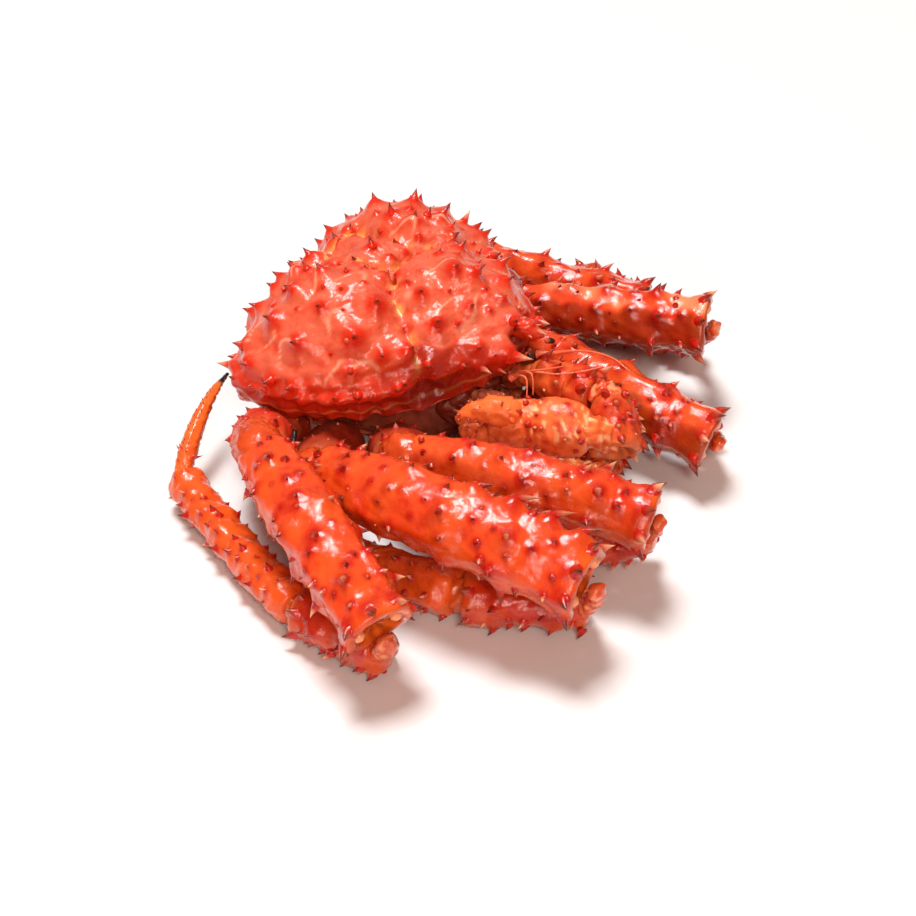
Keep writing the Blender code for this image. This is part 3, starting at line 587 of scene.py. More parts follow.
def clearance(p, own):
    """Distance from p to the nearest other segment, or to the ground."""
    best = p[2]
    for name, a, b, ra, rb in CAPSULES:
        if name == own:
            continue
        ab = b - a
        t = np.clip(np.dot(p - a, ab) / np.dot(ab, ab), 0.0, 1.0)
        gap = np.linalg.norm(p - a - ab * t) - (ra + (rb - ra) * t)
        best = min(best, gap)
    return best


def under_shell(p, margin):
    """True where p is inside the shell, or nearer to it than the margin."""
    x = p[0] - SHELL_SHIFT
    rho, top, foot = (float(v) for v in shell_at(x, p[1]))
    z = p[2] - SHELL_ROLL * x
    return rho < 1.0 + margin / SHELL_RADIUS and foot - margin < z < top + margin


def fitted(base, direction, length, own, shell=True, need_share=0.9):
    """Longest allowed spine here, or 0 where there is no room."""
    for share in (1.0, 0.8, 0.6, 0.45):
        tip = base + unit(direction) * length * share
        need = min(length * share, 5.0) * need_share + 0.4
        if tip[2] <= NEAR_GROUND:
            need = min(need, tip[2])
        if tip[2] < LEAST_HEIGHT or clearance(tip, own) < need:
            continue
        if not (shell and under_shell(tip, 3.0)):
            return length * share
    return 0.0


# least gap between the roots of spines, and the share of its length that a tip keeps clear
ROOM_ON_LEG = (4.2, 0.9)
ROOM_ON_CLAW = (2.4, 0.05)
LEAST_SPINE = 0.9               # shorter ones are left out
PALE_SHARE = 0.3                # share of the limbs' spines with a pale tip
PALE_SHARE_AT_END = 0.12        # the same for those round the far end
END_SPINES_BACK = 3.0           # how far those stand back from the end
CREST_NODE = "leg_r2_merus"      # has a row of long leaning spines
CREST_ANGLE = -62.0             # where the row runs, degrees from the outer side
# its spines: share along the segment, length
CREST_SPINES = ((0.62, 9.0), (0.74, 14.0), (0.85, 15.0), (0.94, 12.0))
# thorns of a claw: count, length, lean
THORNS = {"merus": (16, 7.0, 0.2), "carpus": (18, 5.0, 0.1)}
LOBES = {"merus": 12, "carpus": 8}      # short lobes round the far end


def both_sides(off):
    """An angle off the outer side and its mirror image."""
    return (off, -off) if off else (0,)


def limb_spine_places(limb, rng):
    """Where a limb's spines may stand: share along it, angle, length and lean."""
    rows = []
    for off, spacing, length, first, last in SPINE_ROWS[limb.kind]:
        count = max(1, int(round(limb.length * (last - first) / spacing)))
        for angle, k in itertools.product(both_sides(off), range(count)):
            s = first + (last - first) * (k + 0.5) / count
            s += rng.uniform(-0.12, 0.12) / count
            a = math.radians(angle + rng.uniform(-9, 9))
            rows.append((s, a, length * rng.uniform(0.8, 1.15) * (0.75 + 0.4 * s), 0.45))
    number, length = RIM_SPINES.get(limb.kind, (0, 0))
    for k in range(number):
        a = math.radians(-95 + 190 * k / (number - 1))
        rows.append((1.0, a, length * rng.uniform(1.0, 1.25), 0.9))
    lobes = LOBES.get(limb.kind, 0)
    for k in range(lobes):
        a = math.radians(-150 + 300.0 * k / (lobes - 1) + rng.uniform(-6, 6))
        rows.append((1.0, a, rng.uniform(4.5, 7.0), 1.2))
    offs, spacing, length = FINE_ROWS[limb.kind]
    if not limb.on_leg and limb.kind in THORNS:
        # the fine rows below are then as long as the thorns
        number, length, lean = THORNS[limb.kind]
        for k in range(number):
            rows.append(((k + 0.5) / number, rng.uniform(-1.3, 1.3),
                         length * rng.uniform(0.7, 1.2), lean))
    if limb.name == CREST_NODE:
        rows = [(s, math.radians(CREST_ANGLE), size, 2.2) for s, size in CREST_SPINES] + rows
    count = max(1, int(limb.length * 0.92 / spacing))
    angles = [angle for off in offs for angle in both_sides(off)]
    for (i, angle), k in itertools.product(enumerate(angles), range(count)):
        s = 0.05 + 0.92 * (k + 0.25 + 0.5 * (i % 2)) / count + rng.uniform(-0.25, 0.25) / count
        a = math.radians(angle + rng.uniform(-8, 8))
        rows.append((s, a, length * rng.uniform(0.5, 1.25), 0.4))
    return rows


def limb_spines(limb):
    """The large spines of the solids, then smaller ones in rows between them."""
    rng = own_rng(limb.name)
    room, need_share = ROOM_ON_LEG if limb.on_leg else ROOM_ON_CLAW
    spines = []
    for s, a, size, lean in limb_spine_places(limb, rng):
        at_end = s == 1.0
        along = s * limb.length - (END_SPINES_BACK if at_end else 0.0)
        base = limb.point(along, limb.radius(s) * 0.985, a, limb.slant_at(along / limb.length))
        if any(np.sum((base - o.base) ** 2) < (room + 0.25 * o.length) ** 2 for o in spines):
            continue
        normal = limb.outer * math.cos(a) + limb.side * math.sin(a)
        direction = unit(normal + limb.axis * lean)
        size = fitted(base, direction, size, limb.name, need_share=need_share)
        if size > LEAST_SPINE:
            pale = rng.random() < (PALE_SHARE_AT_END if at_end else PALE_SHARE)
            tone = rng.uniform(0.5, 0.9) if pale else rng.uniform(0.0, 0.2)
            wide = 0.9 + (0.4 if at_end else 0.29) * min(size, 8.0)
            swell = 0.2 if at_end else 0.5 + 0.07 * min(size, 7.0)
            spines.append(Spine(base, normal, direction, size, wide, tone,
                                rng.uniform(0.0, 0.3), swell, 1.35 * wide))
    return spines


# ------------------------------------------------------------------ the shell
RIM_STEPS = 720                 # of the half turn from the front to the tail edge
RIM_BLUR = 24                   # steps that its corners are rounded off over


def rim_table():
    """Angles from the front with the rim's radius and height, its corners rounded off."""
    pts = np.array([(math.atan2(x, -(y - RIM_CENTRE[1])),
                     math.hypot(x, y - RIM_CENTRE[1]), z) for x, y, z in RIM])
    fine = np.linspace(0, math.pi, RIM_STEPS + 1)
    kernel = np.hanning(RIM_BLUR + 3)[1:-1]
    keep = smooth(0.0, 0.25, fine)
    out = []
    for column in (1, 2):
        values = np.interp(fine, pts[:, 0], pts[:, column])
        padded = np.pad(values, RIM_BLUR, mode="reflect")
        blurred = np.convolve(padded, kernel / kernel.sum(), mode="same")[RIM_BLUR:-RIM_BLUR]
        out.append(values * (1 - keep) + blurred * keep)
    return fine, out[0], out[1]


RIM_TABLE = rim_table()


def rim_at(angle):
    """Rim radius and height at an angle from the front (radians)."""
    a = np.abs((np.asarray(angle) + math.pi) % (2 * math.pi) - math.pi)
    angles, radii, heights = RIM_TABLE
    return np.interp(a, angles, radii), np.interp(a, angles, heights)


def line_distance(x, y, line):
    """Distance of each point from a broken line."""
    best = np.full(np.shape(x), 1e9)
    for (ax, ay), (bx, by) in zip(line, line[1:]):
        dx, dy = bx - ax, by - ay
        t = np.clip(((x - ax) * dx + (y - ay) * dy) / (dx * dx + dy * dy), 0.0, 1.0)
        best = np.minimum(best, np.hypot(x - ax - dx * t, y - ay - dy * t))
    return best


def furrow_masks(x, y):
    """How deep in a furrow each point lies, and how far down it is cut."""
    share = np.zeros(np.shape(x))
    depth = np.zeros(np.shape(x))
    for deep, width, line in FURROWS:
        near = np.exp(-(line_distance(np.abs(x), y, line) / width) ** 2)
        depth += deep * near
        share = np.maximum(share, near)
    return share, depth


def back_height(x, y, rho, rim_z):
    """Height of the back at x, y for the share rho of the way to the rim."""
    p, q = DOME_POWERS
    rho = np.minimum(rho, 1.0)
    z = rim_z + (DOME_TOP - rim_z) * np.maximum(0.0, 1 - rho ** p) ** q
    fade = np.minimum(1.0, (1 - rho) / 0.18)
    for cx, cy, sx, sy, h in SWELLINGS:
        dx = (np.abs(x) - cx) / sx
        dy = (y - cy) / sy
        z = z + h * np.exp(-dx * dx - dy * dy) * fade
    return z - furrow_masks(x, y)[1] * fade


def rolled(points):
    """Points of the level, centred shell moved to where the shell sits."""
    points = floats(points)
    moved = points.copy()
    moved[..., 0] += SHELL_SHIFT
    moved[..., 2] += SHELL_ROLL * points[..., 0]
    return moved


def shell_at(x, y):
    """Share of the way to the rim, height of the back, height of the foot."""
    dx = floats(x) - RIM_CENTRE[0]
    dy = floats(y) - RIM_CENTRE[1]
    angle = np.arctan2(dx, -dy)
    radius, rim_z = rim_at(angle)
    rho = np.hypot(dx, dy) / radius
    foot = np.interp(np.degrees(np.abs(angle)), [r[0] for r in WALL_FOOT],
                     [r[1] for r in WALL_FOOT])
    return rho, back_height(floats(x), floats(y), rho, rim_z), foot


def rear_corner(angle):
    """One at the two rear corners of the rim, fading to nothing beside them."""
    return np.exp(-((degrees_off(angle) - 132.0) / 22.0) ** 2)


def front_flank(angle):
    """One where the shell's flank stands steep beside the mouth, fading beside it."""
    return np.exp(-((degrees_off(angle) - 46.0) / 22.0) ** 2)


SHELL_AROUND = 330              # points to a ring of the shell
SHELL_ROWS = 128                # rings on its back
SHELL_FLOOR = 51.0              # height of its underside
LOW_STEPS = 8                   # rows from one ring under the rim to the next
LOW_PULL = 0.35                 # how round the line through them is
# rings under the rim: height, share of the rim's radius, added share at the steep flank
LOW_RINGS = (("middle", 0.3, 0.0), ("floor", 0.7, 0.0), ("fold", 0.86, 0.1),
             ("foot", 0.94, 0.1), ("wall", 0.975, 0.03), ("rim", 1.0, 0.0))


def shell_grid():
    """Rings from the middle of the underside over the rim to the top, and how many are under."""
    angle = turn(SHELL_AROUND)
    radius, rim_z = rim_at(angle)
    cx, cy = RIM_CENTRE

    def ring_place(share):
        return cx + np.sin(angle) * radius * share, cy - np.cos(angle) * radius * share

    rings = []
    for kind, level, spread in LOW_RINGS:
        share = level + spread * front_flank(angle)
        if kind in ("fold", "foot", "wall"):
            share = share + 0.05 * (1 - level) / 0.06 * rear_corner(angle)
        x, y = ring_place(share)
        foot = shell_at(x, y)[2]
        z = {"middle": np.full(SHELL_AROUND, SHELL_FLOOR), "floor": np.maximum(SHELL_FLOOR, foot),
             "fold": foot + 1.5, "foot": foot, "wall": 0.5 * (foot + rim_z), "rim": rim_z}[kind]
        rings.append(np.stack([x, y, z], axis=-1))
    flat_rings = np.array(rings).reshape(len(rings), -1)
    under = smooth_rows(flat_rings, lambda p, q: LOW_STEPS, LOW_PULL).reshape(-1, SHELL_AROUND, 3)
    share = (1 - np.linspace(0, 1, SHELL_ROWS + 1)[1:] ** 1.5 * 0.985)[:, None]
    x, y = ring_place(share)
    top = np.stack([x, y, back_height(x, y, share, rim_z)], axis=-1)
    return np.concatenate([under, top]), len(under)


def shell_normal(x, y):
    """Upward normal of the level shell's back."""
    step = 1.5
    zx = shell_at(x + step, y)[1] - shell_at(x - step, y)[1]
    zy = shell_at(x, y + step)[1] - shell_at(x, y - step)[1]
    return unit((-zx / (2 * step), -zy / (2 * step), 1.0))


def edge_out(x, y):
    """Level direction away from the middle of the shell."""
    return unit((x - RIM_CENTRE[0], y - RIM_CENTRE[1], 0.0))


def rim_spines(rng):
    """Long and short spines by turns along the rim."""
    spines = []
    for side in (-1, 1):
        for k in range(RIM_SPINE_COUNT):
            angle = side * math.radians(12 + 164.0 * k / (RIM_SPINE_COUNT - 1))
            radius, rim_z = (float(v) for v in rim_at(angle))
            level = np.array((math.sin(angle), -math.cos(angle), 0.0))
            x, y = RIM_CENTRE + level[:2] * radius * 0.99
            out = level + (0, 0, 0.45 + rng.uniform(-0.2, 0.2))
            size = rng.uniform(5.5, 8.0) if k % 2 else rng.uniform(2.0, 4.0)
            base = rolled((x, y, rim_z + 0.6))
            size = fitted(base, out, size, "carapace", shell=False)
            if size > 1.2:
                spines.append(Spine(base, level + (0, 0, 0.5), out, size, 0.8 + 0.26 * size,
                                    rng.uniform(0.0, 0.3), 0.1, 0.7, 0.6 * size))
    return spines


def shell_spines():
    """The placed spines of the back, those of the rim, and small ones in the gaps."""
    rng = own_rng("carapace")
    spines = []
    for x, y, size in BACK_SPINES + EDGE_SPINES:
        base = rolled((x, y, float(shell_at(x, y)[1])))
        if any(np.sum((base - o.base) ** 2) < LEAST_SPINE_GAP ** 2 for o in spines):
            continue
        normal = shell_normal(x, y)
        spines.append(Spine(base, normal, normal + edge_out(x, y) * 0.35, 1.15 * size,
                            0.8 + 0.34 * size, 0.15 * rng.random(), 0.1, 1.0, 0.75 * size))
    spines += rim_spines(rng)
    placed = np.array([s.base[:2] for s in spines])
    for _ in range(SMALL_SPINE_TRIES):
        x = rng.uniform(-82, 82)
        y = rng.uniform(-88, 58)
        rho, z, _ = shell_at(x, y)
        base = rolled((x, y, float(z)))
        if rho > 0.965 or np.sqrt(((placed - base[:2]) ** 2).sum(axis=1)).min() < SMALL_SPINE_GAP:
            continue
        normal = shell_normal(x, y)
        size = rng.uniform(1.4, 3.4)
        spines.append(Spine(base, normal, normal + edge_out(x, y) * 0.3, size, 0.6 + 0.26 * size,
                            0.3 * rng.random(), 0.1, 1.0, 0.9 * size))
        placed = np.vstack([placed, base[:2]])
    return spines


def beak_spines():
    """The beak, the spines beside it, and a pair each at the sides and the rear corners."""
    side = float(shell_at(58, -12)[1])
    # root, direction, length, radius
    rows = (((-65, 51, 56), (-0.45, 0.9, 0.15), 11, 3.8),
            ((65, 51, 56), (0.45, 0.9, 0.15), 11, 3.8),
            ((58, -12, side), (0.8, -0.1, 0.6), 11, 3.8),
            ((-58, -12, side), (-0.8, -0.1, 0.6), 8, 3.4),
            ((0, -81, 79.5), (-0.03, -1.0, -0.14), 11, 3.8),
            ((0, -77, 82), (0, -0.7, 0.7), 4.5, 2.4),
            ((-2.5, -81, 77), (-0.6, -1.0, 0.1), 6, 2.0),
            ((2.5, -81, 78), (0.6, -1.0, 0.2), 6, 2.0),
            ((-3, -74, 82), (-0.5, -0.6, 0.7), 5, 2.2),
            ((4, -71, 83), (0.5, -0.6, 0.7), 5, 2.2),
            ((-16.5, -77, 71.5), (0.18, -1.0, 0.02), 14, 5.0),
            ((14, -79, 73), (-0.25, -1.0, 0.3), 9, 3.8),
            ((-27, -66, 69), (-0.25, -1.0, -0.08), 10, 3.6),
            ((-20, -72, 66), (-0.3, -1.0, -0.1), 9, 2.2),
            ((27, -66, 69), (0.25, -1.0, 0.0), 8, 3.4))
    return [Spine(rolled(b), d, d, size, 0.9 * r, 0.7, 0.0, 0.5) for b, d, size, r in rows]


ORBIT_BACK = -73.5              # y of the back of the eye sockets


def open_orbits(grid):
    """Cuts an eye socket on each side of the lowered beak; gives how deep each cut is."""
    x = np.abs(grid[..., 0])
    front = np.exp(-(x / 11.0) ** 2) * smooth(-64.0, -80.0, grid[..., 1])
    grid[..., 2] -= front * 0.5 * np.maximum(0.0, grid[..., 2] - 76.0)
    below_beak = smooth(77.0, 72.0, grid[..., 2])
    within = np.maximum(smooth(1.2, 2.8, x), below_beak) * (1 - smooth(11.0, 16.0, x))
    cut = within * np.maximum(0.0, ORBIT_BACK - grid[..., 1])
    grid[..., 1] += cut
    return cut


def paint_shell(grid, under, x, y, sockets):
    """Painted shade on the underside, in the eye sockets and near the rim; a yellow seam, yellow
    furrows and pale veins on the back.
    """
    masks = flat_masks(grid)
    below, back, top = masks[:under], masks[under:], grid[under:]
    rows = (np.arange(under) / (under - 1.0))[:, None]
    flank = smooth(0.5, 0.72, rows) * (1 - smooth(0.93, 1.0, rows))
    steep = front_flank(turn(SHELL_AROUND))
    # the underside is darkened as painted shade, deeper red and darker on its flank
    below[..., RED] = 0.9 * flank
    below[..., DARK] = 0.25 + (0.12 + 0.45 * steep) * flank
    below[..., YELLOW] = 0.6 * np.exp(-((rows - 0.75) / 0.012) ** 2)
    # painted shade in the eye sockets
    masks[..., DARK] = np.maximum(masks[..., DARK], 0.75 * smooth(0.5, 4.0, sockets))
    ragged = 0.015 * waves(top, 16.0, 8)
    # deeper red and dark paint near the rim, strongest at the steep front flank: painted shade
    # where the back turns down
    rim_shade = smooth(0.94, 0.99, shell_at(x, y)[0] + 0.07 * steep + ragged)
    back[..., RED] = 0.7 * rim_shade
    back[..., DARK] = (0.02 + 0.5 * steep) * rim_shade
    streaks = smooth(-0.2, 1.0, waves(top, 9.0, 5))
    back[..., YELLOW] = 0.95 * furrow_masks(x, y)[0] ** 1.5 * streaks
    veins = np.exp(-(waves(top, 26.0, 9) / 0.16) ** 2)
    faded = smooth(-0.3, 0.9, waves(top, 30.0, 10)) * (1 - rim_shade)
    back[..., CREAM] = 0.55 * veins * faded
    return masks


def carapace_skin():
    """Domed shell with its rim, eye sockets, beak, furrows, relief and spines."""
    skin = Skin("carapace_form")
    grid, under = shell_grid()
    x, y = grid[under:, :, 0].copy(), grid[under:, :, 1].copy()
    sockets = open_orbits(grid)
    masks = paint_shell(grid, under, x, y, sockets)
    grid = rolled(grid)
    normals = grid_normals(grid)
    spines = beak_spines() + shell_spines()
    low_on_side = smooth(72.0, 62.0, grid[..., 2])
    relief = ripples(grid, ((0.6, 21.0, 3), (0.24, 9.0, 4), (0.1, 3.4, 6)))
    relief = relief + 0.7 * low_on_side * waves(grid, 10.0, 7)
    grid += normals * relief[..., None]
    dress(grid, normals, spines, masks, broad=0.36, narrow=0.55)
    skin.add_grid(grid, masks, rolled((*RIM_CENTRE, SHELL_FLOOR)), grid[-1].mean(axis=0))
    add_spines(skin, spines)
    return skin


# ------------------------------------------------------------------ limb skins
def knuckle_path(rows):
    """Hinge of a folded knee: out of the merus's cup, round its inner edge."""
    start, end, _, radius = rows["merus"]
    end = floats(end)
    axis = unit(end - floats(start))
    fold = -across(outer_side(rows, "merus"), axis)
    normal = unit(axis + fold * MERUS_SLANT)
    inward = unit(fold - axis * MERUS_SLANT)
    ball = KNUCKLE_SHARE * radius
    carpus_start, carpus_end = (floats(p) for p in rows["carpus"][:2])
    mouth = end + normal * ball * 0.95
    bend = end + inward * radius * 0.7 + normal * (ball + 1.5)
    root = carpus_start + unit(carpus_end - carpus_start) * 4.0
    return (mouth, bend, root), ball, np.cross(normal, inward)


def tube_grid(points, radii, sides, up=(0, 0, 1), flat=1.0, step=1.2):
    """Rings along a smooth line through the points; the radius row rides along."""
    rows = np.concatenate([floats(points), floats(radii)[:, None]], axis=1)
    rows = smooth_rows(rows, lambda p, q: max(2, int(np.linalg.norm((q - p)[:3]) / step)))
    centre, r = rows[:, :3], rows[:, 3]
    axis = unit(np.gradient(centre, axis=0))
    u = across(np.broadcast_to(up, axis.shape), axis)
    v = np.cross(axis, u)
    grid = rings_round(centre, u, v, r * flat, r, sides)
    start = centre[0] - axis[0] * r[0] * 0.5
    end = centre[-1] + axis[-1] * max(r[-1] * 0.5, 0.3)
    return grid, start, end


def flat_masks(grid, red=0.0, cream=0.0, dark=0.0, yellow=0.0):
    """The same paint all over a grid."""
    masks = np.zeros(grid.shape[:2] + (4,))
    masks[...] = (red, cream, dark, yellow)
    return masks


def add_tube(skin, points, radii, sides, masks=None, rough=0.0, seed=1, mottle=0.0, **shape):
    """Adds a closed tube, with waves and mottling where asked for."""
    grid, start, end = tube_grid(points, radii, sides, **shape)
    if rough:
        grid += grid_normals(grid) * (rough * waves(grid, 5.0, seed))[..., None]
    painted = flat_masks(grid, **(masks or {}))
    if mottle:
        patches = waves(grid, 5.5, seed + 1)
        painted[..., CREAM] += mottle * smooth(0.2, 1.0, patches)
        painted[..., RED] += mottle * smooth(0.0, -0.9, patches)
    skin.add_grid(grid, painted, start, end)


def add_hairs(skin, hairs, radius, masks, sides=4):
    """Thin bristles, each a curved cone given by its root, aim and length."""
    add_spines(skin, [Spine(root, aim, aim, length, radius, 0.5, 0.3)
                      for root, aim, length in hairs], sides)
    skin.masks[-1][:] = masks


# joint skin of a segment: the segment before, share of the thinner one's radius, how deep
# it reaches back, roughness, mottling and paint
SOFT_PAINT = dict(red=0.1, dark=0.3, yellow=0.6)
NECKS = {
    "merus": ("base", 0.82, 6.0, 0.5, 0.0, dict(red=0.2, dark=0.1, yellow=0.25)),
    "carpus": ("merus", 0.62, 4.5, 0.8, 0.4, dict(red=0.3)),
    "propodus": ("carpus", 0.62, 3.0, 0.5, 0.0, SOFT_PAINT),
    "dactyl": ("propodus", 0.62, 3.0, 0.5, 0.0, SOFT_PAINT),
    "palm": ("carpus", 0.62, 0.0, 0.7, 0.7, dict(yellow=0.3)),
    "fixed": ("palm", 0.95, 3.0, 0.5, 0.0, dict(yellow=0.2)),
    "free": ("palm", 0.95, 3.0, 0.5, 0.0, dict(yellow=0.2))}


def add_neck(skin, owner, rows, kind):
    """Joint skin that reaches back into the segment before."""
    if kind not in NECKS or (kind == "carpus" and owner in LEGS):
        return
    before, share, depth, rough, mottle, masks = NECKS[kind]
    first, a, _, before_r = rows[before]
    b, last, own_r, _ = rows[kind]
    first, a, b, last = (floats(p) for p in (first, a, b, last))
    before_axis = unit(a - first)
    own_axis = unit(last - b)
    if kind == "palm":
        a = first + before_axis * np.dot(b - first, before_axis)
    r = share * min(before_r, own_r)
    points = (a - before_axis * depth, a, b, b + own_axis * min(own_r, 7.0))
    add_tube(skin, points, (r * 0.9, r, r, r * 0.9), 40, masks, rough=rough,
             seed=seed_of(skin.name), mottle=mottle, step=0.7)


def add_condyles(skin, limb):
    """Two pale knobs in the far end's opening, on which the next segment turns."""
    along = limb.length - 3.0
    slant = float(limb.slant_at(along / limb.length))
    for a in (-1.15, 1.15):
        root = limb.point(along - 3.0, limb.rb * 0.66, a, slant)
        tip = limb.point(along + 3.5, limb.rb * 0.6, a, slant)
        add_tube(skin, (root, 0.5 * (root + tip), tip), (2.2, 3.0, 2.6), 20,
                 dict(cream=0.45, yellow=0.55), step=0.6)


# painted shade on the lower faces of an upper leg segment, and a painted highlight on its top
SHADED_FACES = {"leg_l1": 0.5, "leg_l2": 0.5, "leg_l3": 0.3, "leg_r1": 0.2}
TOP_HIGHLIGHT_PAINT = {"leg_l2": 0.38}
PALM_DASH_ANGLE = 20.0          # middle of the palm's pale dashes, from its outer side
ROUGHER = {"carpus": 1.5, "propodus": 1.5}      # relief over the usual one
# least paint on the shell of a kind of segment, or of one node; the dark on the bases is painted
# shade under the shell, and the propodus's yellow is partly its own tone and partly painted light
# in its shade
LEAST_PAINT = {
    "base": ((RED, 0.6), (DARK, 0.5)), "leg_r3_base": ((RED, 0.6), (DARK, 0.15)),
    "carpus": ((RED, 0.6), (DARK, 0.12)), "propodus": ((YELLOW, 0.4),)}


def paint_limb(masks, grid, up, limb, along, angle, inside, folds):
    """Yellow patches and ends, a dark cup, painted shade on downward faces, and what the kind of
    segment adds.
    """
    seed = seed_of(limb.name)
    shell = 1 - inside
    patches = smooth(-0.5, 1.2, waves(grid, 26.0, seed + 3))
    # faces turned down get yellower, the underside's own tone
    below = smooth(0.1, -0.9, up)
    ends = smooth(9.0, 0.0, along) + smooth(limb.length - 7.0, limb.length, along)
    yellow = np.clip(0.25 * patches + 0.3 * below + 0.3 * ends, 0, 1)
    masks[..., YELLOW] = np.maximum(yellow, 0.9 * inside)
    # the cup is dark, and faces turned down get a little painted shade
    masks[..., DARK] = inside * (0.2 + 0.4 * folds) + 0.15 * below * shell
    masks[..., RED] *= shell
    if limb.kind == "merus" and limb.owner in SHADED_FACES:
        # painted shade on the lower faces, with a pale line at their ridge
        facing = up + 0.05 * waves(grid, 14.0, seed + 8)
        lower_face_shade = SHADED_FACES[limb.owner] * smooth(0.76, 0.64, facing) * shell
        masks[..., DARK] = np.maximum(masks[..., DARK], lower_face_shade)
        ridge = 0.5 * np.exp(-((facing + 0.2) / 0.07) ** 2)
        # painted highlight on the top
        top = TOP_HIGHLIGHT_PAINT.get(limb.owner, 0.0) * smooth(0.78, 0.9, facing) * patches
        masks[..., CREAM] = (ridge + top) * shell
    if limb.kind == "palm":
        dashes = smooth(0.3, 1.2, np.cos(along * 1.15 + 1.5 * waves(grid, 11.0, seed + 5))
                        + 0.35 * waves(grid, 2.5, seed + 7))
        upper = smooth(0.45, 0.85, np.cos(angle - math.radians(PALM_DASH_ANGLE)))
        masks[..., CREAM] = 0.85 * dashes * upper * smooth(-0.6, 0.4, waves(grid, 8.0, seed + 6))
    for mask, least in LEAST_PAINT.get(limb.name, LEAST_PAINT.get(limb.kind, ())):
        masks[..., mask] = np.maximum(masks[..., mask], least * shell)


def limb_skin(owner, rows, kind, step):
    """A segment's skin with its relief, mounds, spines, open end and joint skin."""
    limb = Limb(owner, kind, rows)
    skin = Skin(limb.name + "_form")
    seed = seed_of(limb.name)
    angle = turn(int(2 * math.pi * max(limb.ra, limb.rb) / step))[None, :]
    along, radius, tilt, inside = (column[:, None] for column in profile_line(limb, step).T)
    grid = limb.point(along, radius, angle, tilt)
    normals = limb_normals(grid)
    masks = flat_masks(grid)
    spines = limb_spines(limb)
    wide = smooth(1.5, 6.0, radius)     # nothing where the rings close up
    relief = ripples(grid, ((0.3, 19.0, seed), (0.12, 6.5, seed + 1), (0.05, 2.6, seed + 2)))
    relief = relief * ROUGHER.get(kind, 1.0)
    grid += normals * (relief * (1 - 0.6 * inside) * wide)[..., None]
    dress(grid, normals, spines, masks)
    folds = 0.5 + 0.5 * np.cos(9 * angle + 0.8 * waves(grid, 12.0, seed + 4))
    paint_limb(masks, grid, normals[..., 2], limb, along, angle, inside, folds)
    grid += normals * (0.5 * folds * inside * wide)[..., None]
    skin.add_grid(grid, masks, limb.a, grid[-1].mean(axis=0))
    add_spines(skin, spines)
    add_neck(skin, owner, rows, kind)
    if kind == "carpus" and limb.on_leg:
        points, ball, side = knuckle_path(rows)
        add_tube(skin, points, (ball * 0.6, ball * 0.75, ball), 36,
                 dict(red=0.3, yellow=0.35), rough=0.45, seed=seed, up=side, mottle=0.4,
                 flat=KNUCKLE_WIDE)
    if kind == "merus" and limb.on_leg:
        add_condyles(skin, limb)
    if kind == "palm":
        fingers = 0.5 * (floats(rows["fixed"][0]) + rows["free"][0])
        ahead = unit(fingers - limb.a) * limb.rb
        add_tube(skin, (limb.b - 0.5 * ahead, fingers, fingers + 0.7 * ahead),
                 (0.93 * limb.rb, 0.88 * limb.rb, 0.62 * limb.rb), 48, dict(yellow=0.2),
                 rough=0.3, seed=seed, mottle=0.15, up=limb.outer, flat=0.75)
    return skin


def bowed_points(a, b, bow, count):
    """Points from a to b on a line that rises by bow in its middle."""
    a, b = (floats(p) for p in (a, b))
    t = np.linspace(0, 1, count)[:, None]
    return a + (b - a) * t + across((0, 0, 1), unit(b - a)) * bow * 4 * t * (1 - t)


def line_axis(row):
    """Unit direction of a segment from its table row."""
    return unit(floats(row[1]) - floats(row[0]))


DACTYL_SIDES = 28
DACTYL_RIBS = 6
SPINULE_ROWS = 6                # rows of small spines along an end segment
SPINULES = 12                   # in each row
ROOT_SPINES = 7                 # larger ones round its start
FINGER_SIDES = 44
FINGER_BOW = {"free": 3.0, "fixed": -2.0}   # how far the middle rises
FINGER_TUBERCLES = 26
FINGER_TUFTS = 12
BRISTLES = 6                    # to a tuft


def dactyl_skin(owner, rows):
    """Slim curved end segment with a black horny tip and rows of spinules."""
    name = node_name(owner, "dactyl")
    skin = Skin(name + "_form")
    a, b, r, bow = rows["dactyl"]
    shares = np.linspace(0, 1, 9)
    radii = r * (1 - 0.86 * shares ** 1.6)
    radii[0] = r * 0.8
    points = bowed_points(a, b, bow, len(shares))
    grid, start, end = tube_grid(points, radii, DACTYL_SIDES, step=0.9)
    normals = grid_normals(grid)
    ribs = np.cos(DACTYL_RIBS * turn(DACTYL_SIDES))
    grid += normals * (0.16 * waves(grid, 4.0, seed_of(name)) + 0.12 * ribs)[..., None]
    t = np.linspace(0, 1, len(grid))[:, None]
    masks = flat_masks(grid)
    masks[..., YELLOW] = 0.3 + 0.3 * t + 0.4 * smooth(0.12, 0.0, t)
    masks[..., DARK] = smooth(0.80, 0.86, t)
    masks[..., RED] = 0.25 * smooth(0.4, 0.0, t)
    skin.add_grid(grid, masks, start, end)
    rng = own_rng(name)
    axis = line_axis(rows["dactyl"])
    spinules = []
    for row in range(SPINULE_ROWS):
        for k in range(SPINULES):
            i = int(len(grid) * (0.06 + 0.7 * (k + rng.random() * 0.6) / SPINULES))
            j = (row * 5 + rng.randrange(2)) % DACTYL_SIDES
            spinules.append((grid[i, j] - normals[i, j] * 0.2, unit(normals[i, j] + axis * 0.8),
                             rng.uniform(1.0, 2.2)))
    add_hairs(skin, spinules, 0.42, (0.3, 0.0, 0.75, 0.0), 5)
    root_spines = []
    for k in range(ROOT_SPINES):
        i = int(len(grid) * (0.03 + 0.16 * rng.random()))
        j = (k * 4 + rng.randrange(3)) % DACTYL_SIDES
        aim = unit(normals[i, j] + axis * 0.6)
        size = fitted(grid[i, j], aim, rng.uniform(2.5, 4.0), name)
        if size > 1.0:
            root_spines.append(Spine(grid[i, j], normals[i, j], aim, size, 0.9, 0.1, 0.2))
    add_spines(skin, root_spines)
    add_neck(skin, owner, rows, "dactyl")
    return skin


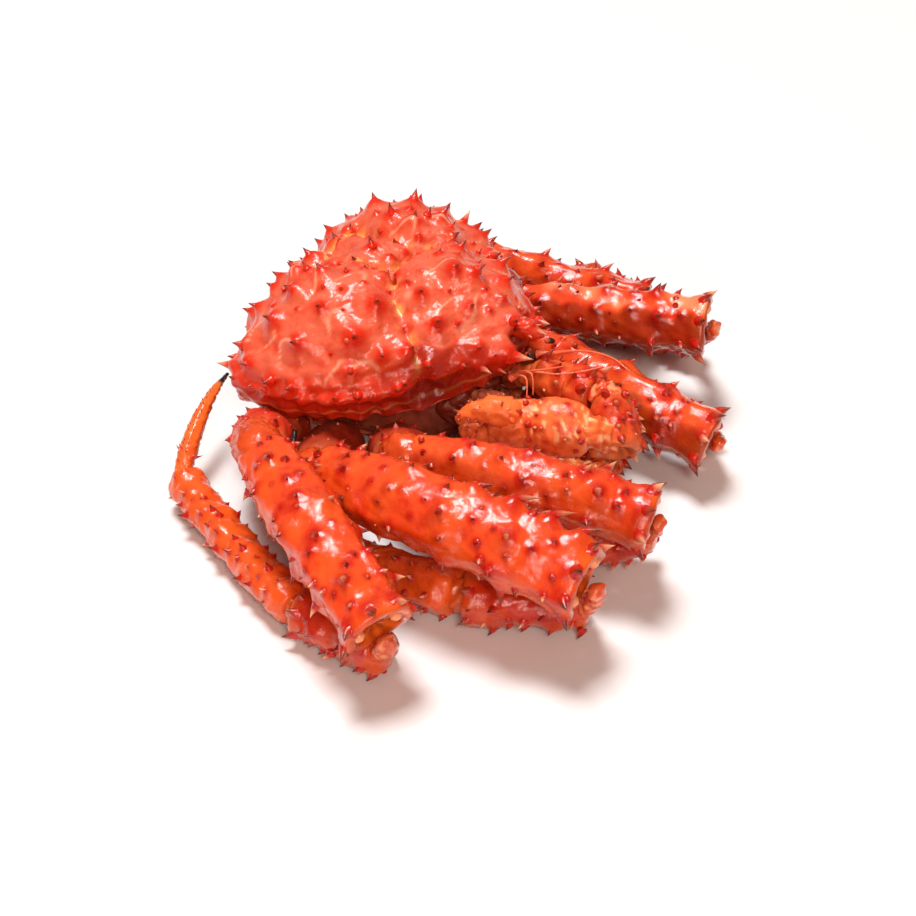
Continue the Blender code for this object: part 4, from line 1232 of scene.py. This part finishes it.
def finger_skin(owner, rows, kind):
    """Claw finger with small blunt tubercles and tufts of bristles."""
    name = node_name(owner, kind)
    skin = Skin(name + "_form")
    a, b, ra, rb = rows[kind]
    radii = (ra * 1.05, ra * 1.04, 0.75 * ra + 0.25 * rb, 0.4 * ra + 0.6 * rb, rb)
    points = bowed_points(a, b, FINGER_BOW[kind], len(radii))
    grid, start, end = tube_grid(points, radii, FINGER_SIDES, step=0.8)
    normals = grid_normals(grid)
    seed = seed_of(name)
    grid += normals * ripples(grid, ((0.3, 6.0, seed), (0.1, 2.5, seed + 1)))[..., None]
    masks = flat_masks(grid, yellow=0.3)
    masks[..., DARK] = smooth(0.93, 1.0, np.linspace(0, 1, len(grid)))[:, None] * 0.6
    rng = own_rng(name)
    tubercles = []
    for _ in range(FINGER_TUBERCLES):
        i = int(len(grid) * rng.uniform(0.05, 0.9))
        j = rng.randrange(FINGER_SIDES)
        tubercles.append(Spine(grid[i, j], normals[i, j], normals[i, j], rng.uniform(0.8, 1.6),
                               rng.uniform(0.6, 0.9), 0.8, 0.0))
    dress(grid, normals, tubercles, masks)
    skin.add_grid(grid, masks, start, end)
    add_spines(skin, tubercles, 7)
    tufts(skin, grid, normals, rng, FINGER_TUFTS, line_axis(rows[kind]))
    add_neck(skin, owner, rows, kind)
    return skin


def tufts(skin, grid, normals, rng, count, axis, scale=1.0):
    """Bunches of pale-brown bristles."""
    hairs = []
    for _ in range(count):
        i = int(len(grid) * rng.uniform(0.1, 0.95)) % len(grid)
        j = rng.randrange(grid.shape[1])
        for _ in range(BRISTLES):
            jitter = np.array([rng.uniform(-1, 1) for _ in range(3)])
            hairs.append((grid[i, j] + jitter * 0.5 - normals[i, j] * 0.3,
                          unit(normals[i, j] + axis * 0.9 + 0.35 * jitter),
                          scale * rng.uniform(1.8, 3.6)))
    add_hairs(skin, hairs, 0.2, (0.0, 0.35, 0.4, 0.3))


# ------------------------------------------------------------------ body skins
# rings of the body wall: height, shares of its half width and half length
THORAX_RINGS = ((13, 0.55, 0.62), (17, 0.86, 0.86), (26, 1.0, 1.0), (36, 1.0, 1.0),
                (43, 0.96, 0.98), (48, 0.8, 0.9))
THORAX_CENTRE = (0, -11)
THORAX_HALF = (41, 48)          # half its width and length
THORAX_SIDES = 200
THORAX_POWER = 2.8              # 2 gives an oval, more a rounder box
# dark front over the mouth: middle line and radii
MOUTH_FRONT = (((-30, -50, 40), (-8, -58, 43), (14, -57, 46), (30, -48, 46)), (8, 9, 9, 8))
MOUTH_TUFTS = 90


def thorax_skin():
    """Body wall with bulges over the leg roots, and the dark bristly front over the mouth."""
    skin = Skin("thorax_form")
    (cx, cy), (hx, hy) = THORAX_CENTRE, THORAX_HALF
    rows = resample([(z, sx * hx, sy * hx) for z, sx, sy in THORAX_RINGS], 1.2)
    angle = turn(THORAX_SIDES)
    s, c = np.sin(angle), np.cos(angle)
    fill = (np.abs(s) ** THORAX_POWER + np.abs(c) ** THORAX_POWER) ** (-1 / THORAX_POWER)
    grid = np.stack([cx + rows[:, 1:2] * s * fill, cy - hy / hx * rows[:, 2:3] * c * fill,
                     rows[:, :1] + 0 * angle], axis=-1)
    normals = grid_normals(grid)
    lobes = 0.9 * np.cos(grid[..., 1] / 5.2) * smooth(20, 36, np.abs(grid[..., 0]))
    grid += normals * (lobes + ripples(grid, ((0.4, 7.0, 21), (0.15, 3.0, 22))))[..., None]
    masks = flat_masks(grid, red=0.25, cream=0.1, yellow=0.25)
    masks[..., DARK] = 0.35 + 0.5 * smooth(-20, -52, grid[..., 1])
    skin.add_grid(grid, masks, (cx, cy, 12.4), (cx, cy, 48.8))
    grid, start, end = tube_grid(*MOUTH_FRONT, 48)
    normals = grid_normals(grid)
    grid += normals * (1.2 * waves(grid, 5.0, 9))[..., None]
    skin.add_grid(grid, flat_masks(grid, red=0.3, dark=0.85), start, end)
    tufts(skin, grid, normals, own_rng("mouth"), MOUTH_TUFTS, np.array((-0.5, -0.6, 0.3)), 2.0)
    return skin


PLATE_ROWS = 18                 # rings to a plate of the tail flap
# middle line of the flap, and its half width there
FLAP = ((0, 59, 42, 20), (0, 63, 30, 27), (0, 60, 17, 31), (0, 48, 9.5, 33), (0, 26, 7.5, 32),
        (0, 2, 7.2, 29), (0, -20, 7.5, 23), (0, -34, 8, 14))
FLAP_THICK = 3.6                # half its thickness
FLAP_SIDES = 96


def abdomen_skin():
    """Broad tail flap of overlapping plates, folded under the body."""
    skin = Skin("abdomen_form")
    rows = smooth_rows(FLAP, lambda p, q: PLATE_ROWS)
    axis = unit(np.gradient(rows[:, :3], axis=0))
    u = np.broadcast_to((1.0, 0.0, 0.0), axis.shape)
    v = np.cross(axis, u)
    along_plate = np.arange(len(rows)) / PLATE_ROWS % 1.0
    thick = FLAP_THICK * (1 + 0.3 * along_plate ** 2)
    grid = rings_round(rows[:, :3], u, v, rows[:, 3], thick, FLAP_SIDES)
    grid += grid_normals(grid) * ripples(grid, ((0.35, 8.0, 31), (0.15, 3.0, 32)))[..., None]
    masks = flat_masks(grid, yellow=0.4)
    masks[..., RED] = 0.7 * smooth(-0.2, 1.0, waves(grid, 11.0, 33))
    masks[..., CREAM] = 0.5 * smooth(0.75, 1.0, along_plate)[:, None]
    masks[..., DARK] = 0.4 * smooth(0.12, 0.0, along_plate)[:, None]
    skin.add_grid(grid, masks, rows[0, :3] + (0, 0, 2.0), rows[-1, :3] + (0, -6.0, 0))
    return skin


# eyes, feelers and mouth legs: middle line and radii
SMALL_PARTS = {
    "eye_right": (((-5.5, -84.5, 69), (-6.5, -86.5, 69.5), (-7.5, -88.5, 69)), (1.3, 1.6, 1.1)),
    "eye_left": (((9.5, -87.5, 69), (10.5, -89.5, 69.5), (11.5, -91.5, 69)), (1.3, 1.6, 1.1)),
    "antenna_right": (((-13, -79, 57), (-9, -84, 60), (-7, -92, 61.5), (-5, -101, 62),
                       (-1, -111, 64), (5, -120, 66)), (2.0, 1.1, 0.6, 0.5, 0.45, 0.35)),
    "antenna_left": (((20, -78, 52), (22, -86, 54), (23, -96, 58), (23, -108, 61),
                      (21, -120, 62), (17, -131, 60)), (2.4, 1.3, 0.7, 0.55, 0.5, 0.4)),
    "maxilliped_right": (((-17, -63, 44), (-19, -70, 45), (-15, -80, 42), (-9, -84, 34)),
                         (4.0, 5.0, 4.2, 2.3)),
    "maxilliped_left": (((2, -64, 30), (1, -69, 31), (2, -77, 32), (3, -83, 30)),
                        (3.0, 4.0, 3.2, 2.0)),
}
MOUTH_LEG_TUFTS = 40
# thin side branches of a feeler
STRANDS = {"antenna_right": (((-14, -82, 61), (-17, -90, 63), (-22, -93, 55)),
                             ((-11, -83, 61), (-15, -92, 65), (-19, -95, 56)),
                             ((-9, -85, 61), (-9, -97, 66), (-8, -106, 70)))}


def eye_skin(name):
    """Dark eye on a pale stalk."""
    skin = Skin(name + "_form")
    grid, start, end = tube_grid(*SMALL_PARTS[name], 32, step=0.4)
    masks = flat_masks(grid)
    masks[..., DARK] = smooth(0.3, 0.5, np.linspace(0, 1, len(grid)))[:, None]
    masks[..., YELLOW] = 1 - masks[..., DARK]
    skin.add_grid(grid, masks, start, end)
    return skin


def feeler_skin(name):
    """Ringed feeler, with thin branches where there are some."""
    skin = Skin(name + "_form")
    grid, start, end = tube_grid(*SMALL_PARTS[name], 18, step=0.5)
    ribs = np.cos(np.arange(len(grid)) * 1.3)[:, None, None]
    grid += grid_normals(grid) * 0.05 * ribs
    skin.add_grid(grid, flat_masks(grid, red=0.4, cream=0.15), start, end)
    for strand in STRANDS.get(name, ()):
        add_tube(skin, strand, (0.6, 0.5, 0.3), 10, dict(red=0.4, cream=0.2), step=0.8)
    return skin


def mouth_leg_skin(name):
    """Bristly mouth leg."""
    skin = Skin(name + "_form")
    points, radii = SMALL_PARTS[name]
    grid, start, end = tube_grid(points, radii, 36, step=0.7)
    normals = grid_normals(grid)
    grid += normals * (0.4 * waves(grid, 5.0, seed_of(name)))[..., None]
    skin.add_grid(grid, flat_masks(grid, red=0.2, cream=0.2, yellow=0.4, dark=0.2), start, end)
    tufts(skin, grid, normals, own_rng(name), MOUTH_LEG_TUFTS, line_axis((points[1], points[-1])))
    return skin


SMALL_SKINS = {"eye": eye_skin, "antenna": feeler_skin, "maxilliped": mouth_leg_skin}


# ------------------------------------------------------------------ materials
def srgb(r, g, b):
    """The linear colour for one told as on a screen, from 0 to 255."""
    out = []
    for v in (r, g, b):
        v /= 255.0
        out.append(v / 12.92 if v <= 0.04045 else ((v + 0.055) / 1.055) ** 2.4)
    return (*out, 1.0)


class Nodes:
    """Small helper for node trees; an input takes a value or another node's output."""

    def __init__(self, tree):
        self.tree = tree
        tree.nodes.clear()

    def new(self, kind, inputs, **settings):
        """Adds a node with its inputs and settings."""
        node = self.tree.nodes.new(kind)
        for key, value in settings.items():
            setattr(node, key, value)
        for key, value in inputs.items():
            if isinstance(value, bpy.types.NodeSocket):
                self.tree.links.new(value, node.inputs[key])
            else:
                node.inputs[key].default_value = value
        return node

    def mix(self, share, a, b):
        return self.new("ShaderNodeMix", {0: share, 6: a, 7: b}, data_type="RGBA").outputs[2]

    def math(self, kind, *values, clamp=False):
        inputs = dict(enumerate(values))
        return self.new("ShaderNodeMath", inputs, operation=kind, use_clamp=clamp).outputs[0]

    def noise(self, where, scale, detail, rough=0.55):
        inputs = {"Vector": where, "Scale": scale, "Detail": detail, "Roughness": rough}
        return self.new("ShaderNodeTexNoise", inputs).outputs["Fac"]


BLOTCHES = 0.62                 # strength of the deeper red blotches
BUMP_DISTANCE = 0.0007


def shell_material(name, colours, roughness=0.26, coat=0.7, top_light_share=0.5):
    """Cooked shell: mottled base, paler on top as a painted highlight, painted masks, pitted and
    wet.
    """
    material = bpy.data.materials.new(name)
    material.use_nodes = True
    main, pale_and_lit_colour, red, cream, dark, yellow = (srgb(*colour) for colour in colours)
    n = Nodes(material.node_tree)
    where = n.new("ShaderNodeTexCoord", {}).outputs["Object"]
    broad = n.noise(where, 75.0, 4.0)
    fine = n.noise(where, 420.0, 4.0, 0.6)
    pits = n.noise(where, 1300.0, 2.0, 0.5)
    paint = n.new("ShaderNodeAttribute", {}, attribute_name="paint").outputs
    red_paint, cream_paint, dark_paint = n.new("ShaderNodeSeparateColor",
                                               {0: paint["Color"]}).outputs
    normal = n.new("ShaderNodeNewGeometry", {}).outputs["Normal"]
    upward = n.new("ShaderNodeSeparateXYZ", {0: normal}).outputs[2]
    # upward faces are mixed toward the pale colour as a painted highlight; the broad patches give
    # the shell's own paler tone
    painted_top_light = n.math("MULTIPLY", upward, top_light_share, clamp=True)
    patch = n.math("MULTIPLY_ADD", broad, 1.6, -0.55, clamp=True)
    colour = n.mix(n.math("ADD", painted_top_light, n.math("MULTIPLY", patch, 0.5), clamp=True), main, pale_and_lit_colour)
    blotch = n.math("MULTIPLY_ADD", n.noise(where, 110.0, 3.0, 0.6), 5.0, -2.4, clamp=True)
    colour = n.mix(n.math("MULTIPLY", blotch, BLOTCHES), colour, red)
    red_share = n.math("MULTIPLY", red_paint, n.math("ADD", fine, 0.5), clamp=True)
    colour = n.mix(red_share, colour, red)
    yellow_share = n.math("MULTIPLY", paint["Alpha"], n.math("ADD", broad, 0.4), clamp=True)
    colour = n.mix(yellow_share, colour, yellow)
    colour = n.mix(cream_paint, colour, cream)
    colour = n.mix(dark_paint, colour, dark)
    height = n.math("ADD", n.math("MULTIPLY", fine, 0.6), n.math("MULTIPLY", pits, 0.25))
    bump = n.new("ShaderNodeBump", {"Strength": 0.55, "Distance": BUMP_DISTANCE,
                                    "Height": height}).outputs[0]
    shader = n.new("ShaderNodeBsdfPrincipled", {
        "Base Color": colour, "Normal": bump, "Coat Normal": bump,
        "Roughness": n.math("MULTIPLY_ADD", fine, 0.25, roughness - 0.12),
        "Coat Weight": coat, "Coat Roughness": 0.1, "Coat IOR": 1.38,
        "Specular IOR Level": 0.25})
    n.new("ShaderNodeOutputMaterial", {0: shader.outputs[0]})
    return material


FLOOR_HALF = 6.0                # metres
FLOOR_BELOW = 0.0002
FLOOR_GREY = 0.76


def floor_material():
    material = bpy.data.materials.new("pale_floor")
    material.use_nodes = True
    shader = material.node_tree.nodes["Principled BSDF"]
    shader.inputs["Base Color"].default_value = (FLOOR_GREY, FLOOR_GREY, FLOOR_GREY, 1)
    shader.inputs["Roughness"].default_value = 0.6
    return material


# looks: colours of the shell, its paler patches and painted top highlight, and red, cream,
# dark and yellow paint, and what differs from the usual gloss
LOOKS = {
    "back_shell": (((210, 72, 34), (218, 108, 82), (206, 34, 4), (250, 190, 150),
                    (92, 16, 6), (240, 170, 90)), dict(coat=0.42, top_light_share=0.58)),
    "leg_shell": (((218, 58, 9), (222, 80, 38), (182, 20, 4), (250, 190, 140),
                   (64, 14, 6), (238, 108, 30)), dict(coat=0.82)),
    "under_shell": (((232, 74, 30), (238, 104, 70), (206, 36, 14), (236, 190, 168),
                     (70, 26, 16), (246, 140, 80)), dict(roughness=0.42, coat=0.3)),
    "claw_shell": (((240, 92, 36), (244, 114, 60), (186, 26, 6), (252, 206, 150),
                    (90, 30, 12), (244, 134, 64)), dict(roughness=0.34, coat=0.3)),
    "leg_tip": (((232, 76, 12), (236, 96, 40), (206, 36, 8), (252, 190, 140),
                 (20, 16, 16), (240, 126, 50)), {}),
    "eye": (((180, 60, 30), (190, 80, 50), (160, 30, 10), (230, 170, 130),
             (44, 18, 12), (190, 80, 40)), dict(roughness=0.3, coat=0.4)),
    "feeler": (((236, 84, 30), (240, 110, 60), (214, 40, 12), (250, 190, 150),
                (90, 40, 20), (248, 140, 70)), dict(roughness=0.4, coat=0.3)),
}
MATERIALS = {name: shell_material(name, colours, **gloss)
             for name, (colours, gloss) in LOOKS.items()}


def slot_of(node):
    """The look of a node."""
    if node == "carapace":
        return "back_shell"
    if node in ("thorax", "abdomen") or node.endswith("_base") or node.startswith("maxilliped"):
        return "under_shell"
    if node.startswith("eye"):
        return "eye"
    if node.startswith("antenna"):
        return "feeler"
    if node.startswith("claw"):
        return "claw_shell"
    if node.endswith("dactyl"):
        return "leg_tip"
    return "leg_shell"


def finish_piece(skin, node):
    slot = slot_of(node)
    skin.piece(MATERIALS[slot], slot, node)


# ------------------------------------------------------------------ assembly
ABDOMEN_CAPSULE = ((0, 48, 11), (0, -30, 11), 30, 20)
NEAR_LIMBS = ("leg_r1", "leg_r2", "leg_r3", "claw_right")
NEAR_STEP = 1.15                # mm between the points of a limb's skin
FAR_STEP = 1.4


def fill_capsules():
    """Every segment as a capsule, for the spines to keep clear of."""
    for owner, rows in LIMBS.items():
        for kind, (a, b, ra, rb) in rows.items():
            name = node_name(owner, kind)
            if kind == "dactyl":
                ra, rb = ra + 3.0, ra * 0.3 + 2.0
            add_capsule(name, a, b, ra, rb)
            if kind == "carpus" and owner in LEGS:
                (mouth, bend, root), ball, _ = knuckle_path(rows)
                add_capsule(name, mouth, bend, ball, ball)
                add_capsule(name, bend, root, ball, ball)
    add_capsule("abdomen", *ABDOMEN_CAPSULE)


def build_crab():
    """Every piece, each with the look of its node."""
    finish_piece(carapace_skin(), "carapace")
    finish_piece(thorax_skin(), "thorax")
    finish_piece(abdomen_skin(), "abdomen")
    for name in SMALL_PARTS:
        finish_piece(SMALL_SKINS[name.split("_")[0]](name), name)
    for owner, rows in LIMBS.items():
        step = NEAR_STEP if owner in NEAR_LIMBS else FAR_STEP
        for kind in rows:
            if kind == "dactyl":
                skin = dactyl_skin(owner, rows)
            elif kind in FINGER_BOW:
                skin = finger_skin(owner, rows, kind)
            else:
                skin = limb_skin(owner, rows, kind, step)
            finish_piece(skin, node_name(owner, kind))


# ------------------------------------------------------------------ studio
# the camera that the photo was taken with, as worked out from it
CAMERA_AZIMUTH = -62.0          # degrees from the crab's front, and above the level
CAMERA_ELEVATION = 36.0
FOCAL_PX = 2100.0               # focal length in pixels of the photo
FRAME_PX = 916.0
PX_PER_MM = 1.93                # scale at the target point, which shows at TARGET_PX
TARGET = np.array((0.0, 0.0, 58.0))
TARGET_PX = (385.0, 325.0)


LIGHT_DISTANCE = 4.0            # metres
WHITE = (1.0, 1.0, 1.0)
WARM_FILL = (1.0, 0.84, 0.72)
ROOM_COLOUR = (1.0, 0.62, 0.53)     # pinkish light from all round
ROOM_STRENGTH = 0.25
# lights: the side they stand on, width and height in metres, watts, colour
LIGHTS = {
    "key": ((0.10, 0.20, 0.97), (1.25, 1.25), 174.0, WHITE),
    "fill": ((-0.66, -0.5, 0.7), (0.8, 0.8), 60.0, WARM_FILL),
    "low_fill": ((-0.86, -0.3, 0.36), (0.8, 0.6), 34.0, WARM_FILL)}


def placed_at(place, right, up, back):
    """Matrix that puts an object at a place in metres with these three axes."""
    spin = Matrix((right, up, back)).transposed()
    return Matrix.Translation(np.asarray(place).tolist()) @ spin.to_4x4()


def add_camera():
    """The camera that took the photo."""
    a = math.radians(CAMERA_AZIMUTH)
    e = math.radians(CAMERA_ELEVATION)
    back = np.array((math.sin(a) * math.cos(e), -math.cos(a) * math.cos(e), math.sin(e)))
    right = np.array((math.cos(a), math.sin(a), 0.0))
    up = np.cross(back, right)
    place = (TARGET + back * FOCAL_PX / PX_PER_MM
             - right * (TARGET_PX[0] - FRAME_PX / 2) / PX_PER_MM
             + up * (TARGET_PX[1] - FRAME_PX / 2) / PX_PER_MM)
    data = bpy.data.cameras.new("camera")
    data.sensor_width = 36.0
    data.lens = FOCAL_PX / FRAME_PX * data.sensor_width
    data.clip_start = 0.05
    data.clip_end = 50.0
    camera = bpy.data.objects.new("camera", data)
    camera.matrix_world = placed_at((place + SHIFT) * MM, right, up, back)
    bpy.context.scene.collection.objects.link(camera)
    bpy.context.scene.camera = camera


def add_light(name, side, size, watts, colour):
    """Flat light that looks at the middle of the scene from one side."""
    data = bpy.data.lights.new(name, "AREA")
    data.shape = "RECTANGLE"
    data.size, data.size_y = size
    data.energy = watts
    data.color = colour
    light = bpy.data.objects.new(name, data)
    back = unit(side)
    right = unit(np.cross((0, 0, 1.0), back))
    light.matrix_world = placed_at(back * LIGHT_DISTANCE, right, np.cross(back, right), back)
    bpy.context.scene.collection.objects.link(light)


def add_studio():
    """White floor, three lights and the light of the room."""
    mesh = bpy.data.meshes.new("floor")
    corners = [(x * FLOOR_HALF, y * FLOOR_HALF, 0) for x, y in ((-1, -1), (1, -1), (1, 1), (-1, 1))]
    mesh.from_pydata(corners, [], [(0, 1, 2, 3)])
    mesh.materials.append(floor_material())
    floor = bpy.data.objects.new("floor", mesh)
    floor.location = (0, 0, -FLOOR_BELOW)
    bpy.context.scene.collection.objects.link(floor)
    for name, row in LIGHTS.items():
        add_light(name, *row)
    world = bpy.data.worlds.new("world")
    world.use_nodes = True
    room = world.node_tree.nodes["Background"]
    room.inputs["Color"].default_value = (*ROOM_COLOUR, 1)
    room.inputs["Strength"].default_value = ROOM_STRENGTH
    bpy.context.scene.world = world
    bpy.context.scene.view_settings.view_transform = "Standard"
    bpy.context.scene.view_settings.look = "None"


fill_capsules()
build_crab()
add_camera()
add_studio()
